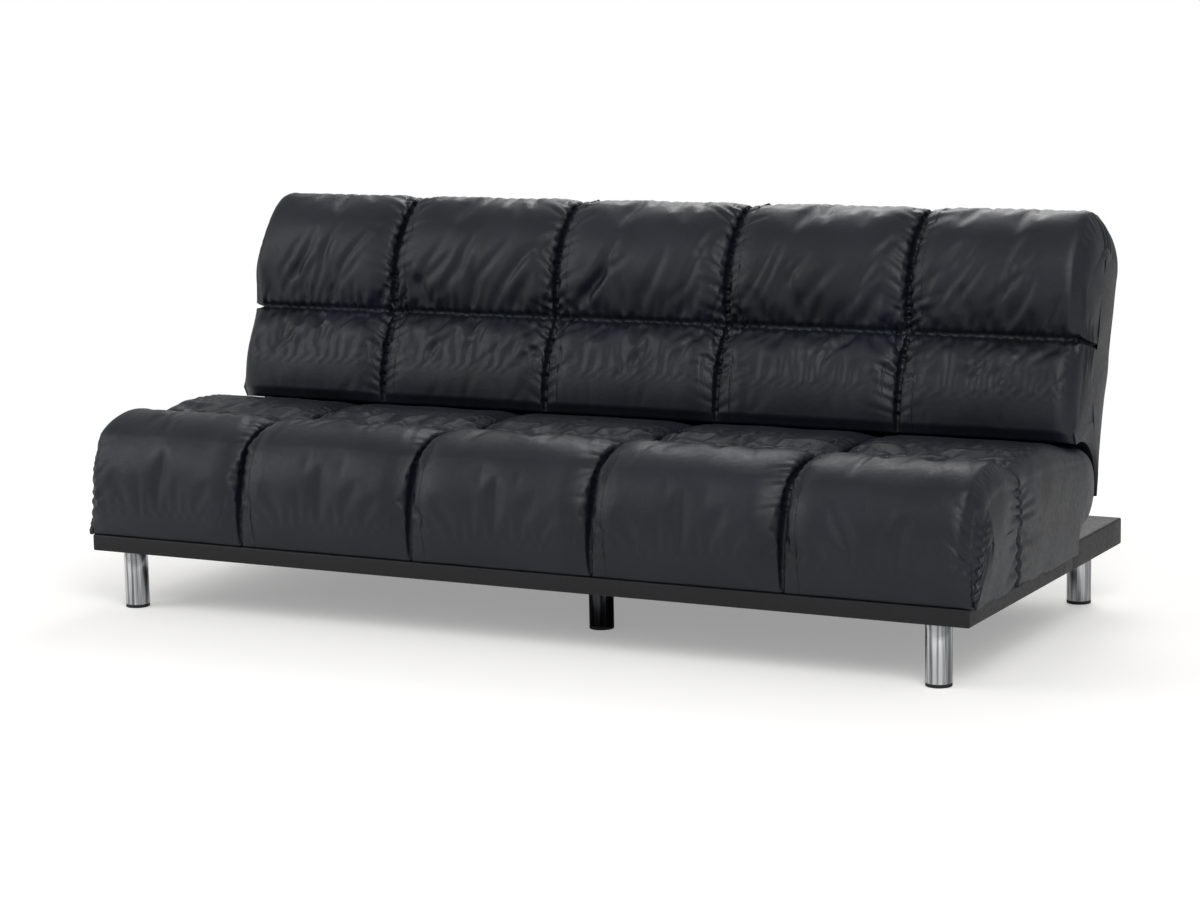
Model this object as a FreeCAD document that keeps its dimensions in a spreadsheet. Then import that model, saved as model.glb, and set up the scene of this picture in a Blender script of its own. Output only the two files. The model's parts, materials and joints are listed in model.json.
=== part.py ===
import FreeCAD, Part
import math
import os
import re

import Sketcher
from FreeCAD import Placement, Rotation, Vector

# Driving dimensions in millimetres and degrees: alias, value, meaning.
# X runs along the sofa, Y to the rear, Z up from the floor.
DIMENSIONS = (
    ("base_width", 1800, "plinth and rear beam, end to end"),
    ("base_front", -395.5, "front face of the plinth"),
    ("base_join", 129.5, "where the plinth meets the rear beam"),
    ("base_rear", 412.5, "rear face of the rear beam"),
    ("leg_height", 112, "floor to the underside of the base"),
    ("plinth_top", 143, "floor to the top of the plinth"),
    ("beam_top", 162, "floor to the top of the rear beam"),
    ("skin", 1.5, "leatherette over the base"),
    ("skin_return", 12, "leatherette turned under an edge"),
    ("flat_rail", 70, "width of a rail laid flat"),
    ("upright_rail", 22, "thickness of the rail at the join"),
    ("beam_panel", 15, "thickness of the rear beam's top panel"),
    ("leg_radius", 23, "outside of a leg tube"),
    ("leg_wall", 1.5, "wall of a leg tube"),
    ("leg_end_inset", 70, "leg centre in from the end of the base"),
    ("leg_front_inset", 42, "leg centre back from the front face"),
    ("leg_rear_inset", 39.5, "leg centre forward of the rear face"),
    ("centre_leg_across", 95, "centre leg off the middle, to the right"),
    ("centre_leg_inset", 218, "centre leg back from the front face"),
    ("glide_height", 6, "plastic glide under a leg"),
    ("leg_cap", 3, "thickness of the disc that closes a leg tube"),
    ("stud_radius", 4, "stud on a leg, screwed into the base"),
    ("stud_length", 22, "length of a leg's stud in its rail"),
    ("hinge_back", 165, "hinge axis behind the middle of the base"),
    ("hinge_up", 256, "hinge axis above the floor"),
    ("lean", 17.5, "lean of the upright back from the vertical"),
    ("recline_step", 14.5, "turn of the back from one notch to the next"),
    ("hinge_across", 780, "inner face of a hinge arm from the middle"),
    ("hinge_plate", 5, "thickness of the hinge plates"),
    ("hinge_gap", 1, "between a lower plate and its arm"),
    ("ratchet_radius", 40, "tips of the ratchet's teeth"),
    ("ratchet_depth", 6, "depth of a notch"),
    ("pin_radius", 6, "hinge pin"),
    ("pin_clearance", 0.05, "running clearance round a pin"),
    ("pawl_back", 118, "pawl pivot behind the middle of the base"),
    ("pawl_up", 284, "pawl pivot above the floor"),
    ("pawl_pin_radius", 4, "pawl pin"),
    ("frame_half", 865, "half length of the seat's timber frame"),
    ("frame_front", -357, "front face of the seat frame"),
    ("frame_rear", 110, "rear face of the seat frame"),
    ("frame_rail", 30, "thickness of a frame rail"),
    ("frame_top", 200, "top of the seat frame"),
    ("foam_low", 210, "underside of the seat foam"),
    ("foam_top", 298, "top of the seat foam"),
    ("seat_half", 910, "half length of the seat cushion"),
    ("seat_front", -412.5, "front bulge of the seat cushion"),
    ("seat_crown", 373, "top of the seat cushion"),
    ("seat_row", -190, "seam between the seat's two rows"),
    ("nose_radius", 83, "round rear nose of the seat, about the hinge"),
    ("nose_gap", 3.5, "between the nose and the back that turns round it"),
    ("back_half", 900, "half length of the back cushion"),
    ("back_top", 519, "top of the back cushion from the hinge"),
    ("back_row", 265, "seam between the back's two rows from the hinge"),
    ("back_rear", 90, "rear face of the back behind the hinge"),
    ("back_front", 100, "front bulge of the back before the hinge"),
    ("back_low", 76, "lower edge of the back's front from the hinge"),
    ("back_panel", 3, "thickness of the back's rear panel"),
    ("stile_low", 142, "lower end of the back's stiles from the hinge"),
    ("stile_high", 398, "upper end of the back's stiles from the hinge"),
    ("rail_deep", 34, "depth of the back's rails"),
    ("rail_tall", 40, "height of the back's cross rails"),
    ("seam_inner", 186, "column seams beside the middle column"),
    ("seam_outer", 558, "column seams beside the end columns"),
    ("seam_depth", 26, "depth of a column seam"),
)
SIDES = (("left", -1), ("right", 1))
OUT_DIR = "parts"
WEB_THICK = 2
WEB_WIDTH = 50
WEB_PLACES = (-650, -390, -130, 130, 390, 650)
CROSS_WEB_PLACES = (-265, -165, -65)
# A cushion's sections near an end: distance from it, and how far the padding is drawn in.
END_ROUNDING = ((0, 46), (12, 16), (42, 0))
BACK_CORNER_DROPS = (46, 18, 0)
SEAM_ROLL = 60
# Chords that stand for each shallow curve of a cushion's side view, and for a round one.
CHORDS = 3
ROUND_CHORDS = 5

doc = FreeCAD.newDocument("click_clack_sofa")
sheet = doc.addObject("Spreadsheet::Sheet", "Dimensions")
for row, (alias, number, meaning) in enumerate(DIMENSIONS, 1):
    sheet.set(f"A{row}", alias)
    sheet.set(f"B{row}", str(number))
    sheet.set(f"C{row}", meaning)
    sheet.setAlias(f"B{row}", alias)
doc.recompute()
nodes = {}


def size(alias):
    """The number in the sheet's cell of this alias."""
    return float(getattr(sheet, alias))


def bound(expression):
    """An expression in which each alias points at its cell."""
    return re.sub(r"[a-z_]+", lambda word: "Dimensions." + word.group(), expression)


def new_body(label, place=None):
    """An empty body; place is a function that binds its placement."""
    body = doc.addObject("PartDesign::Body", label)
    if place:
        place(body)
    return body


def at_hinge(body):
    """Stand a body's origin on the hinge axis, level."""
    body.setExpression("Placement.Base.y", bound("hinge_back"))
    body.setExpression("Placement.Base.z", bound("hinge_up"))


def in_back(body):
    """Stand a body's origin on the hinge axis with its Z along the leaning back."""
    body.Placement = Placement(Vector(), Rotation(Vector(1, 0, 0), 1))
    body.setExpression("Placement.Rotation.Angle", bound("-lean"))
    at_hinge(body)


def new_sketch(body, label, plane, offset="0"):
    """A sketch on one of the body's own planes, moved along its normal."""
    sketch = body.newObject("Sketcher::SketchObject", label)
    face = next(f for f in body.Origin.OriginFeatures if f.Role == plane)
    sketch.AttachmentSupport = (face, "")
    sketch.MapMode = "FlatFace"
    sketch.setExpression("AttachmentOffset.Base.z", bound(offset))
    return sketch


def hold(sketch, geometry, point, across, up):
    """Dimension one point of a sketch from its origin."""
    for kind, value in (("DistanceX", across), ("DistanceY", up)):
        index = sketch.addConstraint(Sketcher.Constraint(kind, -1, 1, geometry, point, 1.0))
        sketch.setExpression(f"Constraints[{index}]", bound(value))


def add_outline(sketch, corners):
    """A closed polygon whose corners are pairs of expressions."""
    count = len(corners)
    first = sketch.GeometryCount
    turn = 2 * math.pi / count
    ring = [Vector(math.cos(i * turn), math.sin(i * turn), 0) for i in range(count)]
    sketch.addGeometry([Part.LineSegment(ring[i], ring[(i + 1) % count]) for i in range(count)])
    for i, (across, up) in enumerate(corners):
        following = first + (i + 1) % count
        sketch.addConstraint(Sketcher.Constraint("Coincident", first + i, 2, following, 1))
        hold(sketch, first + i, 1, across, up)


def add_rectangle(sketch, across, up):
    """A rectangle between two values across and two values up."""
    add_outline(sketch, [(across[0], up[0]), (across[1], up[0]),
                         (across[1], up[1]), (across[0], up[1])])


def add_circle(sketch, across, up, radius):
    """A circle with its centre and radius bound."""
    index = sketch.addGeometry(Part.Circle(Vector(1, 1, 0), Vector(0, 0, 1), 1))
    hold(sketch, index, 3, across, up)
    bind = sketch.addConstraint(Sketcher.Constraint("Radius", index, 1.0))
    sketch.setExpression(f"Constraints[{bind}]", bound(radius))


def pad(sketch, length, label):
    """Grow a sketch along its normal."""
    feature = sketch.getParentGeoFeatureGroup().newObject("PartDesign::Pad", label)
    feature.Profile = sketch
    feature.setExpression("Length", bound(length))
    return feature


def pocket(sketch, length, label):
    """Cut a sketch along its normal."""
    feature = sketch.getParentGeoFeatureGroup().newObject("PartDesign::Pocket", label)
    feature.Profile = sketch
    feature.Reversed = True
    feature.setExpression("Length", bound(length))
    return feature


def board(label, x, y, z, place=None, node=True):
    """A rectangular piece between two values along each axis."""
    body = new_body(label, place)
    sketch = new_sketch(body, label + "_face", "XY_Plane", z[0])
    add_rectangle(sketch, x, y)
    pad(sketch, f"({z[1]}) - ({z[0]})", label + "_pad")
    if node:
        nodes[label] = body
    return body


def turned(label, profile, place=None, plane="XZ_Plane", axis="V_Axis"):
    """A round piece: a profile turned about a sketch axis."""
    body = new_body(label, place)
    sketch = new_sketch(body, label + "_profile", plane)
    add_outline(sketch, profile)
    feature = body.newObject("PartDesign::Revolution", label + "_turned")
    feature.Profile = sketch
    feature.ReferenceAxis = (sketch, [axis])
    feature.Angle = 360
    return body


def group(label, pieces):
    """Several separate solids kept as one node."""
    compound = doc.addObject("Part::Compound", label)
    compound.Links = pieces
    nodes[label] = compound
    return compound


def mirrored(values, sign):
    """A pair of X values on one side of the middle, in rising order."""
    low, high = values
    return (low, high) if sign > 0 else (f"-({high})", f"-({low})")


# The base: a flat plinth under the seat and a deeper beam behind it.
END = "base_width / 2"
UNDER = "leg_height + skin"
PLINTH_HIGH = "plinth_top - skin"
BEAM_HIGH = "beam_top - skin - beam_panel"
CENTRE_LEG = ("centre_leg_across", "base_front + centre_leg_inset")
LEGS = {
    "leg_front_left": (f"-{END} + leg_end_inset", "base_front + leg_front_inset"),
    "leg_front_right": (f"{END} - leg_end_inset", "base_front + leg_front_inset"),
    "leg_rear_left": (f"-{END} + leg_end_inset", "base_rear - leg_rear_inset"),
    "leg_rear_right": (f"{END} - leg_end_inset", "base_rear - leg_rear_inset"),
    "leg_centre": CENTRE_LEG,
}
CROSS_RAILS = (("left", "-450"), ("centre", "centre_leg_across"), ("right", "500"))


def drill_for_legs(body, legs):
    """Bores for the studs of these legs, up into a rail."""
    sketch = new_sketch(body, body.Label + "_bores", "XY_Plane", UNDER)
    for leg in legs:
        add_circle(sketch, *LEGS[leg], "stud_radius")
    pocket(sketch, "stud_length", body.Label + "_drilled")


def make_base_frame():
    """Flat rails of the plinth, the rear beam and its top panel."""
    low_high = (UNDER, PLINTH_HIGH)
    full = (f"-{END} + skin", f"{END} - skin")
    inner_end = f"{END} - skin - flat_rail"
    front_rail_rear = "base_front + skin + flat_rail"
    front = board("plinth_front_rail", full, ("base_front + skin", front_rail_rear), low_high)
    drill_for_legs(front, ("leg_front_left", "leg_front_right"))
    board("plinth_rear_rail", full, ("base_join - flat_rail", "base_join"), low_high)
    between = (front_rail_rear, "base_join - flat_rail")
    beam_between = ("base_join + upright_rail", "base_rear - skin - flat_rail")
    beam_heights = (UNDER, BEAM_HIGH)
    for side, sign in SIDES:
        x = mirrored((inner_end, f"{END} - skin"), sign)
        board(f"plinth_{side}_rail", x, between, low_high)
        board(f"beam_{side}_rail", x, beam_between, beam_heights)
    cross_rails = []
    for name, middle in CROSS_RAILS:
        x = (f"{middle} - flat_rail / 2", f"{middle} + flat_rail / 2")
        cross_rails.append(board(f"cross_rail_{name}", x, between, low_high, node=False))
    drill_for_legs(cross_rails[1], ("leg_centre",))
    group("plinth_cross_rails", cross_rails)
    board("beam_front_rail", full, ("base_join", "base_join + upright_rail"), beam_heights)
    rear = board("beam_rear_rail", full,
                 ("base_rear - skin - flat_rail", "base_rear - skin"), beam_heights)
    drill_for_legs(rear, ("leg_rear_left", "leg_rear_right"))
    board("beam_top_panel", full, ("base_join", "base_rear - skin"),
          (BEAM_HIGH, "beam_top - skin"))


def around_leg(middle):
    """The two sides of a leg's opening in the cloth."""
    return f"{middle} - leg_radius - 1", f"{middle} + leg_radius + 1"


def make_base_skins():
    """Leatherette drawn round the plinth and the beam, and the cloth below."""
    window = (f"-{END} + skin_return", f"{END} - skin_return")
    hollow = (f"-{END} + skin", f"{END} - skin")
    plinth = board("plinth_cover", (f"-{END}", END), ("base_front", "base_join"),
                   ("leg_height", "plinth_top"))
    inside = new_sketch(plinth, "plinth_cover_inside", "XY_Plane", UNDER)
    add_rectangle(inside, hollow, ("base_front + skin", "base_join"))
    pocket(inside, "plinth_top - leg_height - 2 * skin", "plinth_cover_hollow")
    through = new_sketch(plinth, "plinth_cover_returns", "XY_Plane", "leg_height")
    add_rectangle(through, window, ("base_front + skin_return", "base_join"))
    pocket(through, "plinth_top - leg_height", "plinth_cover_window")

    beam = board("beam_cover", (f"-{END}", END), ("base_join", "base_rear"),
                 ("leg_height", "beam_top"))
    inside = new_sketch(beam, "beam_cover_inside", "XY_Plane", UNDER)
    add_rectangle(inside, hollow, ("base_join", "base_rear - skin"))
    pocket(inside, "beam_top - leg_height - 2 * skin", "beam_cover_hollow")
    below = new_sketch(beam, "beam_cover_returns", "XY_Plane", "leg_height")
    add_rectangle(below, window, ("base_join", "base_rear - skin_return"))
    pocket(below, "skin", "beam_cover_window")

    cloth = board("dust_cover", window, ("base_front + skin_return", "base_rear - skin_return"),
                  ("leg_height", UNDER))
    cutouts = new_sketch(cloth, "dust_cover_cutouts", "XY_Plane", "leg_height")
    for x, y in LEGS.values():
        add_rectangle(cutouts, around_leg(x), around_leg(y))
    pocket(cutouts, "skin", "dust_cover_openings")


def make_legs():
    """Tube legs, each closed by a disc with a stud on it, and their glides."""
    bore = "leg_radius - leg_wall"
    under_cap = f"{UNDER} - leg_cap"
    tube = [(bore, "glide_height"), ("leg_radius", "glide_height"), ("leg_radius", UNDER),
            ("0", UNDER), ("0", under_cap), (bore, under_cap)]
    foot = [("0", "0"), ("leg_radius", "0"), ("leg_radius", "glide_height"), ("0", "glide_height")]
    stud = [("0", UNDER), ("stud_radius", UNDER), ("stud_radius", f"{UNDER} + stud_length"),
            ("0", f"{UNDER} + stud_length")]
    corner_legs, glides, studs = [], [], []
    for leg, (x, y) in LEGS.items():
        def stand(body, x=x, y=y):
            body.setExpression("Placement.Base.x", bound(x))
            body.setExpression("Placement.Base.y", bound(y))
        tube_body = turned(leg, tube, stand)
        if leg == "leg_centre":
            nodes[leg] = tube_body
        else:
            corner_legs.append(tube_body)
        glides.append(turned(leg + "_glide", foot, stand))
        studs.append(turned(leg + "_stud", stud, stand))
    group("corner_legs", corner_legs)
    group("leg_glides", glides)
    group("leg_studs", studs)


# The seat: timber frame, elastic webbing, foam and the quilted cushion.
FRAME_LOW = PLINTH_HIGH
SEAT_RAIL = ("hinge_across - hinge_gap - hinge_plate - frame_rail",
             "hinge_across - hinge_gap - hinge_plate")


def make_seat_frame():
    """Rails that carry the webbing, and the rails that the hinges are fixed to."""
    heights = (FRAME_LOW, "frame_top")
    full = ("-frame_half", "frame_half")
    between = ("frame_front + frame_rail", "frame_rear - frame_rail")
    board("seat_front_rail", full, ("frame_front", between[0]), heights)
    board("seat_rear_rail", full, (between[1], "frame_rear"), heights)
    board("seat_centre_rail", ("-frame_rail / 2", "frame_rail / 2"), between,
          (FRAME_LOW, "frame_top - 22"))
    for side, sign in SIDES:
        board(f"seat_{side}_rail", mirrored(("frame_half - frame_rail", "frame_half"), sign),
              between, heights)
        board(f"seat_hinge_rail_{side}", mirrored(SEAT_RAIL, sign), between, heights)


def make_seat_webbing():
    """Elastic bands over the seat frame: long ones first, cross ones on top."""
    lengths = ("frame_front + 2", "frame_rear - 2")
    bands = [board(f"seat_band_{number + 1}", band(x), lengths,
                   ("frame_top", f"frame_top + {WEB_THICK}"), node=False)
             for number, x in enumerate(WEB_PLACES)]
    group("seat_webbing", bands)
    rows = [board(f"seat_cross_band_{number + 1}", ("-frame_half + 2", "frame_half - 2"), band(y),
                  (f"frame_top + {WEB_THICK}", f"frame_top + 2 * {WEB_THICK}"), node=False)
            for number, y in enumerate(CROSS_WEB_PLACES)]
    group("seat_cross_webbing", rows)


def band(middle):
    """The two edges of a band of webbing."""
    return str(middle - WEB_WIDTH / 2), str(middle + WEB_WIDTH / 2)


def chords(first, middle, last, count=CHORDS):
    """Straight pieces along the arc through three points."""
    arc = Part.Arc(*(Vector(a, b, 0) for a, b in (first, middle, last)))
    points = [(p.x, p.y) for p in arc.discretize(count + 1)]
    return list(zip(points, points[1:]))


def add_profile(sketch, pieces):
    """A closed wire of lines, given by their two ends."""
    ends = [[Vector(a, b, 0) for a, b in piece] for piece in pieces]
    sketch.addGeometry([Part.LineSegment(*pair) for pair in ends])


def polar(radius, degrees):
    """A point about the hinge axis."""
    turn = math.radians(degrees)
    return radius * math.cos(turn), radius * math.sin(turn)


def seat_profile(inset):
    """Side view of the seat cushion, drawn in where a seam or an end pulls it in."""
    hinge = size("hinge_back"), size("hinge_up")
    crown, row = size("seat_crown"), size("seat_row")
    low, join = size("plinth_top"), size("base_join")
    front_low = (size("base_front") + 5, low)
    bulge = (size("seat_front") + inset, low + 82)
    shoulder = (size("seat_front") + 42 + 0.7 * inset, crown - 33 - 0.7 * inset)
    front_crown = (row - 95, crown - inset)
    row_seam = (row, crown - 24 - 0.6 * inset)
    rear_crown = (row + 130, crown - 2 - inset)
    rear_edge = (hinge[0] - 60, crown - 27 - 0.7 * inset)
    radius = size("nose_radius") - 0.6 * inset
    nose = [(hinge[0] + a, hinge[1] + b)
            for a, b in (polar(radius, 100), polar(radius, 5), polar(radius, -90))]
    heel = (join, low + 25)
    return [*chords(front_low, bulge, shoulder), *chords(shoulder, front_crown, row_seam),
            *chords(row_seam, rear_crown, rear_edge), [rear_edge, nose[0]],
            *chords(*nose, ROUND_CHORDS),
            [nose[2], heel], [heel, (join, low)], [(join, low), front_low]]


def back_profile(inset, drop):
    """Side view of the back cushion about the hinge; drop rounds the top corners."""
    rear, front, top = size("back_rear"), -size("back_front"), size("back_top")
    row, low = size("back_row"), size("back_low")
    sweep = size("nose_radius") + size("nose_gap")
    small = min(inset, 30)
    rear_top = (rear, top - 64 - drop)
    rear_round = (rear - 8, top - 29 - 0.3 * inset - drop)
    top_rear = (rear - 40, top - 8 - 0.5 * inset - drop)
    top_crown = (0, top - 0.5 * inset - drop)
    top_front = (front + 48 + 0.7 * inset, top - 19 - 0.5 * inset - drop)
    upper_crown = (front + inset, row + 130)
    row_seam = (front + 48 + 0.3 * inset, row)
    lower_crown = (front + 2 + inset, row - 100)
    front_low = (front + 16 + 0.8 * small, low + 16)
    corner = (front + 32 + 0.8 * small, low)
    cusp = math.degrees(math.acos(low / sweep)) + 90
    hollow = [polar(sweep, cusp), polar(sweep, cusp / 2), (sweep, 0)]
    return [[(rear, 0), rear_top], [rear_top, rear_round], [rear_round, top_rear],
            [top_rear, top_crown], [top_crown, top_front],
            *chords(top_front, upper_crown, row_seam), *chords(row_seam, lower_crown, front_low),
            [front_low, corner], [corner, hollow[0]], *chords(*hollow, ROUND_CHORDS),
            [hollow[2], (rear, 0)]]


def cushion_stations(half, drops):
    """X, inset and drop of each section: drawn in at the seams and at the ends."""
    depth = size("seam_depth")
    ends = [(away, inset, drop) for (away, inset), drop in zip(END_ROUNDING, drops)]
    stations = [(-half + away, inset, drop) for away, inset, drop in ends]
    for seam in (-size("seam_outer"), -size("seam_inner"), size("seam_inner"), size("seam_outer")):
        for away, share in ((-SEAM_ROLL, 0), (0, 1), (SEAM_ROLL, 0)):
            stations.append((seam + away, share * depth, 0))
    stations += [(half - away, inset, drop) for away, inset, drop in reversed(ends)]
    return stations


def make_cushion(label, profile, stations, place=None):
    """A quilted cushion: sections lofted straight from one to the next."""
    body = new_body(label, place)
    sections = []
    for number, (x, inset, drop) in enumerate(stations):
        sketch = new_sketch(body, f"{label}_section_{number}", "YZ_Plane", str(x))
        add_profile(sketch, profile(inset, drop))
        sections.append(sketch)
    loft = body.newObject("PartDesign::AdditiveLoft", label + "_loft")
    loft.Profile = sections[0]
    loft.Sections = sections[1:]
    loft.Ruled = True
    nodes[label] = body
    return body


def hinge_pockets(body, label, x, boxes):
    """Rooms for a hinge between two X values, on both sides: Y and Z of each."""
    for side, sign in SIDES:
        low, high = mirrored(x, sign)
        sketch = new_sketch(body, f"{label}_{side}", "YZ_Plane", low)
        for y, z in boxes:
            add_rectangle(sketch, y, z)
        pocket(sketch, f"({high}) - ({low})", f"{label}_{side}_cut")


def make_seat_cushion():
    """The cushion's quilted cover with its fill, hollow over the frame and foam."""
    body = make_cushion("seat_cushion", lambda inset, drop: seat_profile(inset),
                        cushion_stations(size("seat_half"), (0, 0, 0)))
    hollow = new_sketch(body, "seat_cushion_inside", "YZ_Plane", "-frame_half - 3")
    add_outline(hollow, [("frame_front - 3", "plinth_top"), ("frame_rear + 2", "plinth_top"),
                         ("frame_rear + 2", "foam_top + 2"),
                         ("frame_front + 47", "foam_top + 2"),
                         ("frame_front - 3", "foam_top - 48")])
    pocket(hollow, "2 * frame_half + 6", "seat_cushion_hollow")
    hinge_pockets(body, "seat_cushion_hinge_room", ("hinge_across - 12", "hinge_across + 17"),
                  [(("frame_rear", "hinge_back + 46"), ("hinge_up - 60", "hinge_up + 46"))])
    hinge_pockets(body, "seat_cushion_arm_slot", ("hinge_across - 3", "hinge_across + 8"),
                  [(("hinge_back - 12", "hinge_back + 100"), ("hinge_up - 58", "hinge_up + 100"))])


def make_seat_foam():
    """The foam block on the webbing, cut away round the hinges."""
    body = new_body("seat_foam")
    side_view = new_sketch(body, "seat_foam_side", "YZ_Plane", "-frame_half")
    add_outline(side_view, [("frame_front", "foam_low"), ("frame_rear", "foam_low"),
                            ("frame_rear", "foam_top"), ("frame_front + 48", "foam_top"),
                            ("frame_front", "foam_top - 48")])
    pad(side_view, "2 * frame_half", "seat_foam_pad")
    hinge_pockets(body, "seat_foam_hinge_room", ("hinge_across - 15", "hinge_across + 20"),
                  [(("-12", "frame_rear"), ("foam_low - 5", "foam_top"))])
    nodes["seat_foam"] = body


# The back, drawn about the hinge axis with Z up along it and Y to its rear.
RAIL_REAR = "back_rear - 2 * back_panel"
RAIL_FRONT = f"{RAIL_REAR} - rail_deep"
BACK_STILE = ("hinge_across + hinge_plate", "hinge_across + hinge_plate + frame_rail")


def make_back_frame():
    """Rails and stiles of the back, its webbing and its rear panel."""
    depth = (RAIL_FRONT, RAIL_REAR)
    full = ("-frame_half + 5", "frame_half - 5")
    heights = ("stile_low", "stile_high")
    board("back_bottom_rail", full, depth, ("stile_low - rail_tall", "stile_low"), in_back)
    board("back_top_rail", full, depth, ("stile_high", "stile_high + rail_tall"), in_back)
    board("back_centre_rail", ("-frame_rail / 2", "frame_rail / 2"), depth, heights, in_back)
    for side, sign in SIDES:
        board(f"back_{side}_rail", mirrored(("frame_half - 5 - frame_rail", "frame_half - 5"), sign),
              depth, heights, in_back)
        board(f"back_hinge_stile_{side}", mirrored(BACK_STILE, sign), depth, heights, in_back)
    bands = [board(f"back_band_{number + 1}", band(x),
                   (f"{RAIL_FRONT} - {WEB_THICK}", RAIL_FRONT),
                   ("stile_low - 30", "stile_high + 30"), in_back, node=False)
             for number, x in enumerate(WEB_PLACES)]
    group("back_webbing", bands)
    board("back_rear_panel", ("-frame_half + 1", "frame_half - 1"),
          ("back_rear - back_panel", "back_rear"),
          ("stile_low - rail_tall - 1", "stile_high + rail_tall + 1"), in_back)


def make_back_foam():
    """The foam block before the webbing, cut away round the hinge arms."""
    body = board("back_foam", ("-frame_half + 5", "frame_half - 5"),
                 ("-28", f"{RAIL_FRONT} - {WEB_THICK}"),
                 ("stile_low - rail_tall", "stile_high + rail_tall"), in_back)
    hinge_pockets(body, "back_foam_arm_room", ("hinge_across - 10", "hinge_across + 15"),
                  [(("-28", RAIL_FRONT), ("stile_low - rail_tall", "stile_low + 108"))])


def make_back_cushion():
    """The back's quilted cover with its fill, open at the rear for its panel."""
    body = make_cushion("back_cushion", back_profile,
                        cushion_stations(size("back_half"), BACK_CORNER_DROPS), in_back)
    inside = new_sketch(body, "back_cushion_inside", "YZ_Plane", "-frame_half")
    add_rectangle(inside, ("-30", "back_rear"),
                  ("stile_low - rail_tall - 2", "stile_high + rail_tall + 2"))
    pocket(inside, "2 * frame_half", "back_cushion_hollow")
    hinge_pockets(body, "back_cushion_arm_slot", ("hinge_across - 3", "hinge_across + 8"),
                  [(("-8", "56"), ("40", "stile_low - rail_tall"))])


# The click clack hinges, in the round nose of the seat.
LOWER_PLATE = (("0", "150"), ("78", "150"), ("78", "202"), ("116", "206"), ("186", "236"),
               ("188", "262"), ("160", "284"), ("125", "298"), ("94", "297"), ("80", "262"),
               ("0", "200"))
ARM_STRAP = (("-24", "22"), ("10", "96"), ("10", "160"), ("34", "244"), ("84", "244"),
             ("84", "150"), ("46", "142.5"), ("46", "90"), ("34", "12"))
PAWL = (("109", "284"), ("113.5", "291.8"), ("122.5", "291.8"), ("127", "284"), ("126", "276"),
        ("124.3", "265"), ("124.4", "249"), ("119", "247"), ("113.5", "262"), ("112", "276"))
PAWL_SPRING = (("98.6", "290"), ("100", "291"), ("112.6", "263"), ("117.4", "249"),
               ("116.4", "248"), ("111.4", "262"))
SPRING_STUD = ("95", "284")
TIP_ANGLE = 190
STUD_RADIUS = "3"
NOTCHES = 6
# A notch's steep face and the end of its slope, in degrees either side of the pawl.
NOTCH_STEEP, NOTCH_SLOPE = 4, -8
# A rivet's head against its shank, the head's thickness and the play under it.
RIVET_HEAD, RIVET_HEAD_THICK, RIVET_PLAY = 1.6, 2.3, 0.2


def plate_between(label, sign, x, corners, place=None):
    """A plate cut to an outline, standing between two X values."""
    body = new_body(label, place)
    low, high = mirrored(x, sign)
    sketch = new_sketch(body, label + "_outline", "YZ_Plane", low)
    add_outline(sketch, corners)
    pad(sketch, f"({high}) - ({low})", label + "_pad")
    nodes[label] = body
    return body


def round_feature(body, name, sign, x, circles, cut):
    """Bosses or holes between two X values of a plate: Y, Z and radius of each."""
    low, high = mirrored(x, sign)
    sketch = new_sketch(body, f"{body.Label}_{name}_circles", "YZ_Plane", low)
    for y, z, radius in circles:
        add_circle(sketch, y, z, radius)
    (pocket if cut else pad)(sketch, f"({high}) - ({low})", f"{body.Label}_{name}")


def add_ratchet(body, sign, x):
    """Notches round the arm's disc, one for each position of the back."""
    low, high = mirrored(x, sign)
    start = TIP_ANGLE + size("lean")
    rim, root = size("ratchet_radius") + 2, size("ratchet_radius") - size("ratchet_depth")
    sketch = new_sketch(body, body.Label + "_notch_shape", "YZ_Plane", low)
    corners = [Vector(*polar(rim, start + NOTCH_STEEP), 0),
               Vector(*polar(root, start + NOTCH_STEEP), 0),
               Vector(*polar(rim, start + NOTCH_SLOPE), 0)]
    sketch.addGeometry([Part.LineSegment(corners[i], corners[(i + 1) % 3]) for i in range(3)])
    notch = pocket(sketch, f"({high}) - ({low})", body.Label + "_notch")
    doc.recompute()
    pattern = body.newObject("PartDesign::PolarPattern", body.Label + "_notches")
    pattern.Originals = [notch]
    pattern.Axis = (sketch, ["N_Axis"])
    pattern.Occurrences = NOTCHES
    pattern.setExpression("Angle", bound(f"{NOTCHES - 1} * recline_step"))
    body.Tip = pattern


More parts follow.
